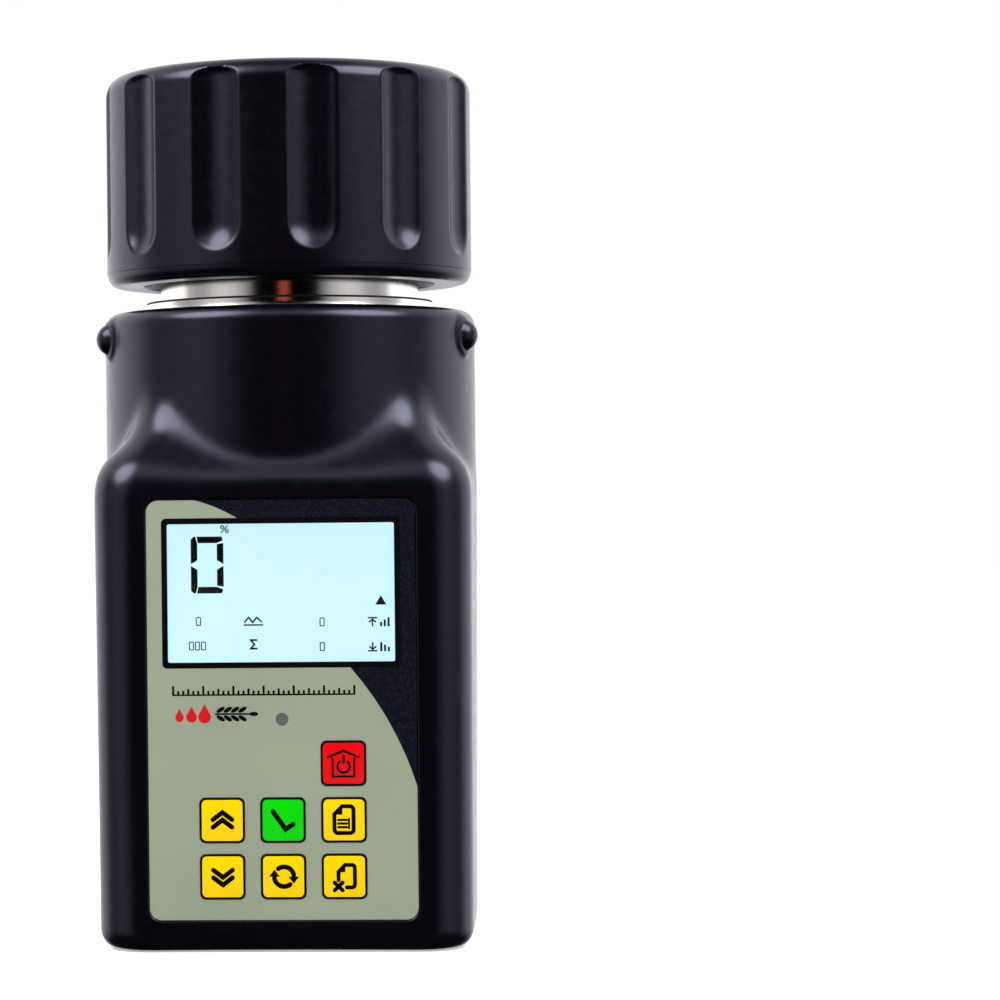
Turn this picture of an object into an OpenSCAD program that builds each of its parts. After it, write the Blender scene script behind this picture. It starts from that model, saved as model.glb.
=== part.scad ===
// Hand-held grain moisture meter: a moulded housing with a display and keypad, a metal
// measuring cell in its neck, and a fluted screw cap with a sprung pressure plate.
// The front faces -Y and the origin is at the middle of the base.

/* [Body] */
// Width of the box
body_w = 77.2; // [77:0.2:80]
// Depth of the box
body_d = 82.4; // [80:0.2:84]
// Height of the box, up to where its shoulder starts
box_h = 94; // [94:0.5:96]
// Radius of the box's upright corners
corner_r = 9; // [7:1:11]
// Thickness of the housing's walls
wall = 2.5; // [2:0.25:2.5]
// Radius of the round neck
neck_r = 38.4; // [38:0.1:38.4]
// Height of the neck's top face
neck_top = 128.8; // [128:0.2:131]

/* [Cap] */
// Outer radius of the cap
cap_r = 38.2; // [38:0.1:39]
// Height of the cap
cap_h = 43.7; // [43.5:0.1:45]
// Gap between the cap and the housing as the cap stands, half unscrewed
cap_gap = 5.7; // [5:0.1:6]
// Number of finger flutes
flutes = 12; // [8:1:14]
// Width of a flute where it cuts the cap's wall
flute_w = 10; // [8:0.5:11]
// Depth of a flute
flute_depth = 1.7; // [1:0.1:1.9]
// Angle of the first flute from the front
flute_turn = 8.3; // [0:0.1:30]

/* [Measuring cell] */
// Outer radius of the cell's tube
cell_r = 27; // [27:0.1:27.2]
// Radius of the cup that the grain fills
cup_r = 24.4; // [24:0.1:24.5]
// Depth of the cup
cup_depth = 48.5; // [46:0.5:49]
// Height of the cell's rim above the housing
rim_rise = 22.2; // [21:0.2:23]
// Radius of the centre electrode
electrode_r = 8; // [6:0.5:9]
// Rise of the cap's thread in one turn
pitch = 4; // [4:1:4]

/* [Panel] */
// Width of the keypad panel
panel_w = 53.4; // [53:0.2:55]
// Height of the keypad panel
panel_h = 83.4; // [83:0.2:85]
// Height of the panel's middle
panel_z = 48.1; // [47.8:0.1:48.2]
// Width of the display's viewing area
view_w = 45.4; // [44:0.2:46]
// Height of the display's viewing area
view_h = 27.8; // [27:0.1:28.5]
// Height of the display's middle
view_z = 71.3; // [71:0.1:72]
// Side of a key
key_s = 8.9; // [8:0.1:9]
// Distance between key columns
key_dx = 12.1; // [12:0.1:13]
// Distance between key rows
key_dz = 11.2; // [11.2:0.1:11.5]
// Height of the lowest key row
key_z = 15; // [14:0.1:15]
// Travel of a key
key_travel = 0.3; // [0.2:0.05:0.3]

/* [Battery] */
// Width of the battery
battery_w = 26.5; // [26:0.1:26.6]
// Thickness of the battery
battery_d = 17.5; // [17:0.1:17.6]
// Height of the battery's case, without its terminals
battery_h = 46.4; // [46:0.1:46.6]

/* [Hidden] */
$fn = 64;

// Housing
front_y = -body_d / 2;
back_y = body_d / 2;
roof = 16;
foot = 2.5;
neck_edge = 3;
base_t = 3;
base_gap = 0.15;
base_w = body_w - 2 * foot - 7;
base_d = body_d - 2 * foot - 7;
boss_x = 28.5;
boss_y = 27;
boss_r = 3.5;
boss_h = 18;
bump_z = neck_top - 5.6;
bump_r = 3.4;
bump_sunk = 0.3;
bump_turn = 19;

// Panel layers, from the recess's floor outwards
recess = 1.4;
panel_gap = 0.15;
circuit_t = 0.2;
spacer_t = 0.7;
overlay_t = 0.3;
floor_y = front_y + recess;
circuit_y = floor_y - circuit_t;
spacer_y = circuit_y - spacer_t;
overlay_y = spacer_y - overlay_t;
panel_r = 2.4;
lens_border = 0.9;
lens_w = view_w + 2 * lens_border;
lens_h = view_h + 2 * lens_border;
key_r = 1.1;
key_gap = 0.1;
key_t = 0.5;
key_proud = 0.15;
dome_r = 3;
key_back = overlay_y - key_proud + key_t;
dome_h = circuit_y - key_back - key_travel - 0.1;
led_z = 46.2;
tail_x = -9;
tail_z = 50;

// Keys by column, from the left, and row, from the bottom
KEYS = [["key_down", 0, 0], ["key_cycle", 1, 0], ["key_erase", 2, 0], ["key_up", 0, 1],
    ["key_enter", 1, 1], ["key_report", 2, 1], ["key_power", 2, 2]];

// Board and display
board_t = 1.6;
board_w = 49;
board_y = -32;
board_back = board_y + board_t;
socket_t = 4.6;
socket_y = board_back + socket_t;
board_z0 = 8;
board_z1 = 86;
board_hole_x = [-21, 21];
board_hole_z = [11.5, 49];
glass_t = 1.9;
frame_w = 50.5;
frame_h = 36;
frame_y0 = front_y + wall + 0.1;
frame_y1 = board_y - 0.05;
backlight_t = 2.6;
pin_pitch = 2.54;
pin_s = 0.6;

// Measuring cell
cell_top = neck_top + rim_rise;
cup_floor = cell_top - cup_depth;
cell_floor_t = 3.5;
cell_bottom = cup_floor - cell_floor_t;
flange_r = 30;
flange_t = 1.5;
gasket_t = 0.3;
flange_z = neck_top + gasket_t;
nut_t = 5;
insulator_t = 2;
spigot_r = 10;
insulator_r = 14;
electrode_z = cup_floor + insulator_t;
electrode_top = cup_floor + 29.5;
stud_r = 2;
stud_z = cell_bottom - 9.5;
probe_x = 18;
probe_r = 2.4;

// Thread of the cell and the cap
thread_depth = 1;
thread_root = cell_r - thread_depth;
thread_z0 = cell_top - 13;
thread_turns = 2.5;
thread_play = 0.35;
tooth_base = 2.6;
tooth_tip = 1.3;
tooth_sunk = 0.4;

// Cap
cap_z = neck_top + cap_gap;
cap_top = cap_z + cap_h;
cap_edge = 4;
cap_foot = 1.2;
cap_bore = 30.5;
insert_z = cap_z + 4.5;
insert_h = 18;
insert_top = insert_z + insert_h;
insert_r = cap_bore - 0.05;
plunger_room = 25.4;
cap_roof = cap_top - 8.5;
cap_web = 4;
button_r = 9;
button_t = 3;
button_drop = 3;
button_z = cap_top - button_drop - button_t;
button_play = 0.3;
hub_r = 13;
stem_r = 4;
stem_play = 0.1;
washer_t = 2;
washer_r = 11.5;
stem_screw_l = 7;
plate_r = cup_r - 0.5;
plate_t = 3;
plate_z = cell_top - 6;
spring_r = 9.2;
spring_wire = 0.8;
spring_turns = 6;

// Battery bay
tray_wall = 2.4;
tray_lug = 4;
tray_x = battery_w / 2 + 0.5;
tray_back = back_y - wall;
battery_y1 = tray_back - 0.9;
battery_y0 = battery_y1 - battery_d;
tray_y0 = battery_y0 - 0.4;
battery_z = 12;
tray_z0 = battery_z - 0.4;
tray_z1 = 67.5;
terminal_h = 2.3;
door_w = 30;
door_z0 = 12;
door_z1 = 67;
door_t = 2.6;
door_gap = 0.25;
door_pin_r = 0.8;
door_pin_l = 1.4;
pin_play = 0.08;
door_axis_y = back_y - door_t / 2;
door_axis_z = door_z0 + door_t / 2;

// ---------------------------------------------------------------- shared shapes

module rounded_rect(w, h, r) {
    square([w - 2 * r, h], center = true);
    square([w, h - 2 * r], center = true);
    for (x = [-1, 1], y = [-1, 1])
        translate([x * (w / 2 - r), y * (h / 2 - r)]) circle(r);
}

// An outline drawn in X and Z, as a plate from y0 back to y1
module plate_y(y0, y1) {
    translate([0, y1, 0]) rotate([90, 0, 0]) linear_extrude(y1 - y0) children();
}

module ring(r_out, r_in, z0, z1) {
    translate([0, 0, z0]) difference() {
        cylinder(r = r_out, h = z1 - z0);
        translate([0, 0, -1]) cylinder(r = r_in, h = z1 - z0 + 2);
    }
}

// A rod along Y, from y0 back to y1
module rod_y(r, y0, y1) {
    translate([0, y0, 0]) rotate([-90, 0, 0]) cylinder(r = r, h = y1 - y0);
}

// One view of the box: upright sides, a chamfer at the foot and a sloping shoulder
module box_profile(width, skin) {
    half = width / 2 - skin;
    eaves = box_h - 0.414 * skin;
    polygon([[-half + foot, skin], [-half, skin + foot], [-half, eaves], [-half + roof, eaves + roof],
        [half - roof, eaves + roof], [half, eaves], [half, skin + foot], [half - foot, skin]]);
}

// The outside of the box and its shoulder, drawn in by skin
module box_solid(skin) {
    intersection() {
        linear_extrude(box_h + roof + 1)
            rounded_rect(body_w - 2 * skin, body_d - 2 * skin, corner_r - 0.7 * skin);
        plate_y(-body_d, body_d) box_profile(body_w, skin);
        rotate([0, 0, 90]) plate_y(-body_w, body_w) box_profile(body_d, skin);
    }
}

function cross3(a, b) = [a[1] * b[2] - a[2] * b[1], a[2] * b[0] - a[0] * b[2],
    a[0] * b[1] - a[1] * b[0]];
function unit(v) = v / norm(v);

// A point at share t of the way along a smooth curve through the points p
function spline(p, t) = let (n = len(p) - 1, i = min(floor(t * n), n - 1), u = t * n - i,
    a = p[max(i - 1, 0)], b = p[i], c = p[i + 1], d = p[min(i + 2, n)])
    0.5 * (2 * b + (c - a) * u + (2 * a - 5 * b + 4 * c - d) * u * u
    + (3 * b - a - 3 * c + d) * u * u * u);

// A tube of radius r through the points p
module wire(p, r, rings = 24, sides = 8) {
    path = [for (i = [0:rings]) spline(p, i / rings)];
    dir = [for (i = [0:rings]) unit(path[min(i + 1, rings)] - path[max(i - 1, 0)])];
    side = [for (d = dir) unit(cross3(d, [0.31, 0.22, 0.93]))];
    points = [for (i = [0:rings]) let (up = cross3(side[i], dir[i])) for (k = [0:sides - 1])
        path[i] + r * (side[i] * cos(360 * k / sides) + up * sin(360 * k / sides))];
    walls = [for (i = [0:rings - 1], k = [0:sides - 1]) let (m = (k + 1) % sides)
        [i * sides + k, i * sides + m, (i + 1) * sides + m, (i + 1) * sides + k]];
    ends = [[for (k = [sides - 1:-1:0]) k], [for (k = [0:sides - 1]) rings * sides + k]];
    polyhedron(points, concat(walls, ends));
}

// A helical tooth between radius r0, its broad foot, and radius r1, its narrow tip
module thread_tooth(r0, r1, z, turns, segments = 48) {
    n = round(turns * segments);
    lead = segments / 4;
    points = [for (i = [0:n]) let (a = 360 * i / segments,
        grow = min(1, i / lead, (n - i) / lead), tip = r0 + (r1 - r0) * max(grow, 0.02),
        zc = z + pitch * i / segments)
        for (c = [[r0, -tooth_base / 2], [tip, -tooth_tip / 2], [tip, tooth_tip / 2],
            [r0, tooth_base / 2]])
            [c[0] * cos(a), c[0] * sin(a), zc + c[1]]];
    out = r1 > r0;
    walls = [for (i = [0:n - 1], k = [0:3]) let (m = (k + 1) % 4,
        f = [4 * i + k, 4 * i + m, 4 * i + 4 + m, 4 * i + 4 + k])
        out ? f : [f[3], f[2], f[1], f[0]]];
    caps = out ? [[3, 2, 1, 0], [4 * n, 4 * n + 1, 4 * n + 2, 4 * n + 3]]
        : [[0, 1, 2, 3], [4 * n + 3, 4 * n + 2, 4 * n + 1, 4 * n]];
    polyhedron(points, concat(walls, caps));
}

// ---------------------------------------------------------------- housing

module neck_outside() {
    h = neck_top - box_h;
    translate([0, 0, box_h]) rotate_extrude() {
        square([neck_r - neck_edge, h]);
        square([neck_r, h - neck_edge]);
        translate([neck_r - neck_edge, h - neck_edge]) intersection() {
            circle(neck_edge);
            square(neck_edge + 1);
        }
    }
}

// A domed boss on the side of the neck, with a flared foot
module side_bump() {
    translate([neck_r - bump_sunk, 0, bump_z]) rotate([0, 90, 0]) {
        sphere(r = bump_r);
        translate([0, 0, -1.4]) cylinder(r1 = 1.5 * bump_r, r2 = 0.88 * bump_r, h = 2.9);
    }
}

module base_boss(x, y) {
    translate([x * boss_x, y * boss_y, base_t]) cylinder(r = boss_r, h = boss_h);
    translate([x * (boss_x + boss_r) - 4, y * boss_y - 1, base_t + 1]) cube([8, 2, boss_h - 2]);
}

module at_board_holes() {
    for (x = board_hole_x, z = board_hole_z) translate([x, 0, z]) children();
}

module housing_openings() {
    translate([0, 0, -1]) linear_extrude(base_t + 1 + base_gap)
        rounded_rect(base_w + 2 * base_gap, base_d + 2 * base_gap, 3);
    translate([0, 0, neck_top - wall - 1]) cylinder(r = cell_r + 0.15, h = wall + 3);
    plate_y(front_y - 1, floor_y) translate([0, panel_z])
        rounded_rect(panel_w + 2 * panel_gap, panel_h + 2 * panel_gap, panel_r + panel_gap);
    plate_y(floor_y - 1, front_y + wall + 1) translate([0, view_z])
        square([lens_w + 0.4, lens_h + 0.4], center = true);
    plate_y(floor_y - 1, front_y + wall + 1) translate([tail_x, tail_z]) square([13, 1.2], center = true);
    translate([0, 0, led_z]) rod_y(1.8, floor_y - 1, front_y + wall + 1);
    plate_y(tray_back - 3.5, back_y + 1) translate([0, (door_z0 + door_z1) / 2])
        square([door_w + 2 * door_gap, door_z1 - door_z0 + 2 * door_gap], center = true);
    for (x = [-1, 1])
        translate([x * (door_w / 2 + door_gap - 0.5), door_axis_y, door_axis_z])
            rotate([0, x * 90, 0]) cylinder(r = door_pin_r + pin_play, h = door_pin_l + 0.7);
}

module main_housing() {
    color("#1c1d22") difference() {
        union() {
            difference() {
                union() {
                    box_solid(0);
                    neck_outside();
                    rotate([0, 0, -bump_turn]) side_bump();
                    rotate([0, 0, 180 + bump_turn]) side_bump();
                }
                box_solid(wall);
                translate([0, 0, box_h - 6]) cylinder(r = neck_r - wall, h = neck_top - wall - box_h + 6);
                housing_openings();
            }
            for (x = [-1, 1], y = [-1, 1]) base_boss(x, y);
            at_board_holes() rod_y(2.6, front_y + wall - 0.2, board_y);
        }
        for (x = [-1, 1], y = [-1, 1])
            translate([x * boss_x, y * boss_y, base_t - 1]) cylinder(r = 1.3, h = 13);
        at_board_holes() rod_y(0.9, board_y - 4, board_y + 1);
    }
}

module base_plate() {
    color("#1c1d22") difference() {
        linear_extrude(base_t) rounded_rect(base_w, base_d, 3 - base_gap);
        for (x = [-1, 1], y = [-1, 1]) translate([x * boss_x, y * boss_y, -1]) {
            cylinder(r = 1.7, h = 10);
            cylinder(r = 3, h = 2.8);
        }
    }
}

// A cross-slotted screw standing head down: head radius, head height, shank radius, shank length
module screw(head_r, head_h, shank_r, shank_l) {
    slot_l = 1.2 * head_r;
    slot_w = 0.22 * head_r;
    difference() {
        union() {
            cylinder(r = head_r, h = head_h);
            cylinder(r = shank_r, h = head_h + shank_l);
        }
        for (a = [0, 90]) rotate([0, 0, a])
            translate([-slot_l / 2, -slot_w / 2, -1]) cube([slot_l, slot_w, 1 + head_h / 2]);
    }
}

module base_screws() {
    color("silver") for (x = [-1, 1], y = [-1, 1])
        translate([x * boss_x, y * boss_y, 0.1]) screw(2.7, 1.7, 1.25, 11);
}

// ---------------------------------------------------------------- battery bay

module battery_door() {
    h = door_z1 - door_axis_z;
    color("#1c1d22") {
        difference() {
            union() {
                plate_y(back_y - door_t, back_y) translate([0, door_axis_z + h / 2])
                    square([door_w, h], center = true);
                translate([-door_w / 2, door_axis_y, door_axis_z]) rotate([0, 90, 0])
                    cylinder(r = door_t / 2, h = door_w);
                for (x = [-1, 1]) translate([x * (door_w / 2 - 0.5), door_axis_y, door_axis_z])
                    rotate([0, x * 90, 0]) cylinder(r = door_pin_r, h = door_pin_l + 0.5);
                plate_y(back_y - door_t - 2.2, back_y - door_t + 0.1)
                    translate([0, door_z1 - 1.6]) square([12, 1.6], center = true);
            }
            for (k = [0:3]) plate_y(back_y - 0.5, back_y + 1)
                translate([0, door_z1 - 6 - 1.8 * k]) rounded_rect(11, 0.8, 0.39);
            for (x = [-1, 1]) plate_y(back_y - door_t - 3, back_y + 1)
                translate([x * 7.5, door_z1 - 2]) square([0.8, 8], center = true);
        }
    }
}

module battery_tray() {
    mid_z = (tray_z0 + tray_z1) / 2;
    h = tray_z1 - tray_z0;
    color("#2a2b30") difference() {
        union() {
            plate_y(tray_y0 - tray_wall, tray_back - 0.3) translate([0, mid_z])
                square([2 * (tray_x + tray_wall), h + 2 * tray_wall], center = true);
            for (x = [-1, 1]) plate_y(tray_back - 1.8, tray_back)
                translate([x * (tray_x + tray_wall + tray_lug / 2), mid_z])
                    square([tray_lug, h], center = true);
        }
        plate_y(tray_y0, tray_back + 1) translate([0, mid_z]) square([2 * tray_x, h], center = true);
        translate([-4, tray_y0 - 3, tray_z1 - 8]) cube([8, 6, 14]);
    }
}

module battery() {
    color("#2f6fb5") plate_y(battery_y0, battery_y1)
        translate([0, battery_z + battery_h / 2]) rounded_rect(battery_w, battery_h, 1.2);
    color("silver") for (x = [-1, 1])
        translate([x * 6.35, (battery_y0 + battery_y1) / 2, battery_z + battery_h])
            cylinder(r = x < 0 ? 3 : 2.6, h = terminal_h);
}

snap_z = battery_z + battery_h + terminal_h + 0.05;
module battery_snap() {
    color("#26262a") translate([0, (battery_y0 + battery_y1) / 2, snap_z])
        linear_extrude(2.4) rounded_rect(24, 11, 2.5);
}

battery_lead_z = board_z0 + 18;
module battery_leads() {
    y0 = (battery_y0 + battery_y1) / 2;
    for (x = [-1, 1]) color(x < 0 ? "#b02020" : "#1a1a1a")
        wire([[1.2 * x, y0 - 5.6, snap_z + 1.2], [1.3 * x, tray_y0 - 2, snap_z + 1.4],
            [2 * x, tray_y0 - 7, snap_z - 6], [2 * x, tray_y0 - 14, battery_lead_z + 14],
            [1.5 * x, board_back + 11, battery_lead_z + 3], [1.3 * x, socket_y + 2, battery_lead_z],
            [1.3 * x, socket_y + 0.02, battery_lead_z]], 0.6);
}

module battery_pad() {
    color("#3c3c40") plate_y(tray_y0 + 0.02, battery_y0 - 0.02)
        translate([0, battery_z + battery_h / 2]) square([18, 30], center = true);
}

// ---------------------------------------------------------------- board and display

module main_board() {
    color("#14603a") difference() {
        plate_y(board_y, board_back) translate([0, (board_z0 + board_z1) / 2])
            rounded_rect(board_w, board_z1 - board_z0, 1.5);
        at_board_holes() rod_y(1.3, board_y - 1, board_back + 1);
        at_lcd_pins() plate_y(board_y - 1, board_back + 1) square(pin_s + 0.1, center = true);
    }
}

module board_screws() {
    color("silver") at_board_holes()
        translate([0, board_back + 1.32, 0]) rotate([90, 0, 0]) screw(2, 1.3, 0.85, 4.6);
}

module board_chips() {
    color("#202024") {
        plate_y(board_back, board_back + 1.5) {
            translate([0, 66]) square(12, center = true);
            translate([-14, 40]) square([5, 6.2], center = true);
            translate([14, 36]) square([5, 4], center = true);
            translate([-13, 70]) square([4, 7], center = true);
        }
        translate([13, 0, 64]) rod_y(3.2, board_back, board_back + 6.5);
        translate([15, 0, 24]) rod_y(2.5, board_back, board_back + 5);
    }
}

module board_sockets() {
    color("ivory") {
        plate_y(board_back, socket_y) {
            translate([0, battery_lead_z]) square([6.5, 4], center = true);
            translate([-12, 81]) square([9, 4], center = true);
        }
        plate_y(board_y - 2, board_y) translate([tail_x, tail_z - 6]) square([13, 4], center = true);
    }
}

module lcd_frame() {
    color("#151518") difference() {
        plate_y(frame_y0, frame_y1) translate([0, view_z]) rounded_rect(frame_w, frame_h, 1);
        plate_y(frame_y0 - 1, frame_y0 + backlight_t + 0.6) translate([0, view_z])
            square([lens_w + 0.4, lens_h + 0.4], center = true);
    }
}

module lcd_backlight() {
    color("#e8f8ff") plate_y(floor_y + 0.05 + glass_t, frame_y0 + backlight_t + 0.55)
        translate([0, view_z]) square([lens_w, lens_h], center = true);
}

module lcd_glass() {
    color("#cdf2fb") plate_y(floor_y, floor_y + glass_t) translate([0, view_z])
        square([lens_w, lens_h], center = true);
}

module at_lcd_pins() {
    for (k = [-8:8]) translate([k * pin_pitch, 0, view_z - frame_h / 2 + 1.5]) children();
}

module lcd_pins() {
    color("gold") at_lcd_pins() plate_y(frame_y1, board_back + 1.2) square(pin_s, center = true);
}

module lcd_lens() {
    color("#cdf2fb", 0.4) plate_y(overlay_y, floor_y - 0.1) translate([0, view_z])
        rounded_rect(lens_w - 0.1, lens_h - 0.1, 0.8);
}

// ---------------------------------------------------------------- keypad

function key_x(col) = (col - 1) * key_dx;
function key_height(row) = key_z + row * key_dz;

module key_windows(side, r) {
    for (k = KEYS) translate([key_x(k[1]), key_height(k[2])]) rounded_rect(side, side, r);
}

module panel_outline() {
    translate([0, panel_z]) rounded_rect(panel_w, panel_h, panel_r);
}

module overlay() {
    color("#a0a892") plate_y(overlay_y, spacer_y) difference() {
        panel_outline();
        translate([0, view_z]) rounded_rect(lens_w, lens_h, 0.85);
        key_windows(key_s + 2 * key_gap, key_r + key_gap);
        translate([0, led_z]) circle(1.25);
    }
}

module key_spacer() {
    color("#d8d4c8") plate_y(spacer_y, circuit_y) difference() {
        panel_outline();
        translate([0, view_z]) square([lens_w, lens_h], center = true);
        key_windows(key_s + 0.6, 1);
        translate([0, led_z]) circle(1.25);
    }
}

module key_circuit() {
    color("#c8ccd0") plate_y(circuit_y, floor_y) difference() {
        panel_outline();
        translate([0, view_z]) square([lens_w, lens_h], center = true);
        translate([0, led_z]) circle(1.25);
    }
}

module snap_domes() {
    color("silver") for (k = KEYS)
        translate([key_x(k[1]), circuit_y, key_height(k[2])]) rotate([90, 0, 0])
            cylinder(r1 = dome_r, r2 = dome_r * 0.55, h = dome_h);
}

module keypad_tail() {
    color("#b58a3a") {
        plate_y(floor_y, board_y - 0.85) translate([tail_x, tail_z]) square([12, 0.3], center = true);
        plate_y(board_y - 1.15, board_y - 0.85) translate([tail_x, tail_z - 2])
            square([12, 4], center = true);
    }
}

module key_pad(name, shade) {
    k = [for (entry = KEYS) if (entry[0] == name) entry][0];
    color(shade) translate([key_x(k[1]), 0, key_height(k[2])]) {
        plate_y(key_back - key_t + 0.12, key_back) rounded_rect(key_s, key_s, key_r);
        plate_y(key_back - key_t, key_back - key_t + 0.12)
            rounded_rect(key_s - 0.3, key_s - 0.3, key_r - 0.15);
    }
}

module indicator_lens() {
    color("#77777a") translate([0, 0, led_z]) rod_y(1.2, overlay_y, floor_y - 0.1);
}

module indicator_led() {
    color("#dfe6ea") translate([0, 0, led_z]) {
        rod_y(1.5, floor_y + 0.4, board_y);
        rod_y(1.9, board_y - 1, board_y);
    }
}

// ---------------------------------------------------------------- measuring cell

module measuring_cell() {
    color("#d9d6cf") {
        difference() {
            union() {
                translate([0, 0, cell_bottom]) cylinder(r = cell_r, h = thread_z0 - 1.5 - cell_bottom);
                translate([0, 0, cell_bottom]) cylinder(r = thread_root, h = cell_top - cell_bottom);
                translate([0, 0, flange_z]) cylinder(r = flange_r, h = flange_t);
                thread_tooth(thread_root - tooth_sunk, cell_r, thread_z0, thread_turns);
            }
            translate([0, 0, cup_floor]) cylinder(r = cup_r, h = cup_depth + 1);
            translate([0, 0, cell_bottom - 1]) cylinder(r = spigot_r, h = 10);
            translate([probe_x, 0, cell_bottom - 1]) cylinder(r = probe_r + 0.05, h = 10);
        }
    }
}

module cell_gasket() {
    color("#303034") ring(flange_r - 0.5, cell_r + 0.2, neck_top, flange_z);
}

module cell_nut() {
    color("#b8bcc0") difference() {
        ring(31.5, cell_r + 0.05, neck_top - wall - nut_t, neck_top - wall);
        for (a = [45:90:315]) rotate([0, 0, a])
            translate([29.6, -2, neck_top - wall - nut_t - 1]) cube([4, 4, nut_t + 2]);
    }
}

module cell_insulator() {
    color("#f2f0ea") {
        difference() {
            union() {
                translate([0, 0, cup_floor]) cylinder(r = insulator_r, h = insulator_t);
                translate([0, 0, cell_bottom]) cylinder(r = spigot_r, h = cell_floor_t);
            }
            translate([0, 0, cell_bottom - 1]) cylinder(r = stud_r + 0.05, h = 10);
        }
    }
}

module lower_insulator() {
    color("#f2f0ea") ring(insulator_r, stud_r + 0.05, cell_bottom - insulator_t, cell_bottom);
}

module centre_electrode() {
    color("#d9d6cf") {
        translate([0, 0, electrode_z])
            cylinder(r = electrode_r, h = electrode_top - electrode_z - electrode_r);
        translate([0, 0, electrode_top - electrode_r]) sphere(r = electrode_r);
        translate([0, 0, stud_z]) cylinder(r = stud_r, h = electrode_z - stud_z + 1);
    }
}

nut_z = cell_bottom - insulator_t - 3.7;
module electrode_nut() {
    color("silver") difference() {
        translate([0, 0, nut_z]) cylinder(r = 4.04, h = 3.2, $fn = 6);
        translate([0, 0, nut_z - 1]) cylinder(r = stud_r + 0.03, h = 6);
    }
}

module sense_tag() {
    z0 = nut_z + 3.2;
    color("#d8c27a") {
        difference() {
            union() {
                translate([0, 0, z0]) cylinder(r = 4, h = 0.5);
                translate([-1.5, -11, z0]) cube([3, 11, 0.5]);
            }
            translate([0, 0, z0 - 1]) cylinder(r = stud_r + 0.03, h = 3);
        }
    }
}

module temperature_probe() {
    color("#c8cacc") translate([probe_x, 0, 0]) {
        translate([0, 0, cell_bottom - 2]) cylinder(r = probe_r, h = cell_floor_t + 4);
        translate([0, 0, cell_bottom - 1.5]) cylinder(r = 3.6, h = 1.5);
    }
}

module cell_leads() {
    plug_y = socket_y + 0.02;
    tag_z = nut_z + 3.2 - 0.6;
    color("#2244aa") wire([[0, -10.6, tag_z], [0, -13, tag_z - 0.7], [-3, -17.5, 92.5], [-6.5, -21, 87],
        [-9, -22.5, 81.6], [-9, plug_y + 1.5, 81], [-9, plug_y, 81]], 0.6);
    color("#dddddd") wire([[probe_x - 0.8, 0, cell_bottom - 2], [17.2, -1, 93], [12, -8, 88.5],
        [0, -15, 84.5], [-8, -20, 80.5], [-12, -22.5, 80.8],
        [-12, plug_y + 1.5, 81], [-12, plug_y, 81]], 0.5);
    color("#bbbbbb") wire([[probe_x + 0.8, 0, cell_bottom - 2], [18.8, -1.2, 92.5], [13.5, -9, 86.5],
        [1, -16, 82], [-9, -20, 78], [-14.2, -22, 80], [-14.6, plug_y + 1.5, 81], [-14.6, plug_y, 81]], 0.5);
}

// ---------------------------------------------------------------- cap

// One finger flute, cut by a round-ended bar whose axis stands outside the cap
module flute_cutter() {
    half = flute_w / 2;
    drop = sqrt(cap_r * cap_r - half * half) - cap_r + flute_depth;
    bar_r = (half * half + drop * drop) / (2 * drop);
    z0 = cap_z + 10.4;
    z1 = cap_top - 6.4;
    translate([0, -(cap_r - flute_depth + bar_r), 0]) {
        translate([0, 0, z0]) cylinder(r = bar_r, h = z1 - z0);
        for (z = [z0, z1]) translate([0, 0, z]) sphere(r = bar_r);
    }
}

module cap_outside() {
    rotate_extrude() {
        translate([0, cap_z + cap_foot]) square([cap_r, cap_h - cap_edge - cap_foot]);
        translate([0, cap_z]) square([cap_r - cap_foot, cap_h]);
        translate([cap_r - cap_foot, cap_z + cap_foot]) circle(cap_foot);
        intersection() {
            translate([cap_r - cap_edge, cap_top - cap_edge]) circle(cap_edge);
            translate([cap_r - cap_edge, cap_top - cap_edge]) square(cap_edge);
        }
    }
}

module cap_shell() {
    color("#1c1d22") difference() {
        cap_outside();
        for (k = [0:flutes - 1]) rotate([0, 0, flute_turn + 360 * k / flutes]) flute_cutter();
        translate([0, 0, cap_z - 1]) cylinder(r = cap_bore, h = insert_top - cap_z + 1);
        translate([0, 0, insert_top - 1]) cylinder(r = plunger_room, h = cap_roof - insert_top + 1);
        ring(plunger_room, hub_r, cap_roof - 0.5, cap_top - cap_web);
        translate([0, 0, button_z - 0.1]) cylinder(r = button_r + button_play, h = 10);
        translate([0, 0, cap_roof - 1]) cylinder(r = stem_r + stem_play, h = 10);
    }
}

module thread_insert() {
    color("#c9c4b4") {
        ring(insert_r, cell_r + thread_play, insert_z, insert_top);
        thread_tooth(cell_r + thread_play + tooth_sunk, thread_root + thread_play,
            thread_z0 + 1.5 * pitch, thread_turns);
    }
}

module thrust_washer() {
    color("#f2f0ea") ring(washer_r, stem_r + 0.3, cap_roof - washer_t, cap_roof - 0.05);
}

module plunger_spring() {
    z0 = plate_z + plate_t + spring_wire + 0.02;
    z1 = cap_roof - washer_t - spring_wire - 0.02;
    closed = 2 * spring_wire + 0.15;
    open = (z1 - z0 - 2 * closed) / (spring_turns - 2);
    rings = 144;
    sides = 8;
    points = [for (i = [0:rings], k = [0:sides - 1]) let (t = i / rings, a = 360 * spring_turns * t,
        turn = spring_turns * t, z = z0 + closed * (min(turn, 1) + max(turn - spring_turns + 1, 0))
        + open * min(max(turn - 1, 0), spring_turns - 2), r = spring_r + spring_wire * cos(360 * k / sides))
        [r * cos(a), r * sin(a), z + spring_wire * sin(360 * k / sides)]];
    walls = [for (i = [0:rings - 1], k = [0:sides - 1]) let (m = (k + 1) % sides)
        [i * sides + k, (i + 1) * sides + k, (i + 1) * sides + m, i * sides + m]];
    ends = [[for (k = [0:sides - 1]) k], [for (k = [sides - 1:-1:0]) rings * sides + k]];
    color("#9a9da0") polyhedron(points, concat(walls, ends));
}

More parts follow.
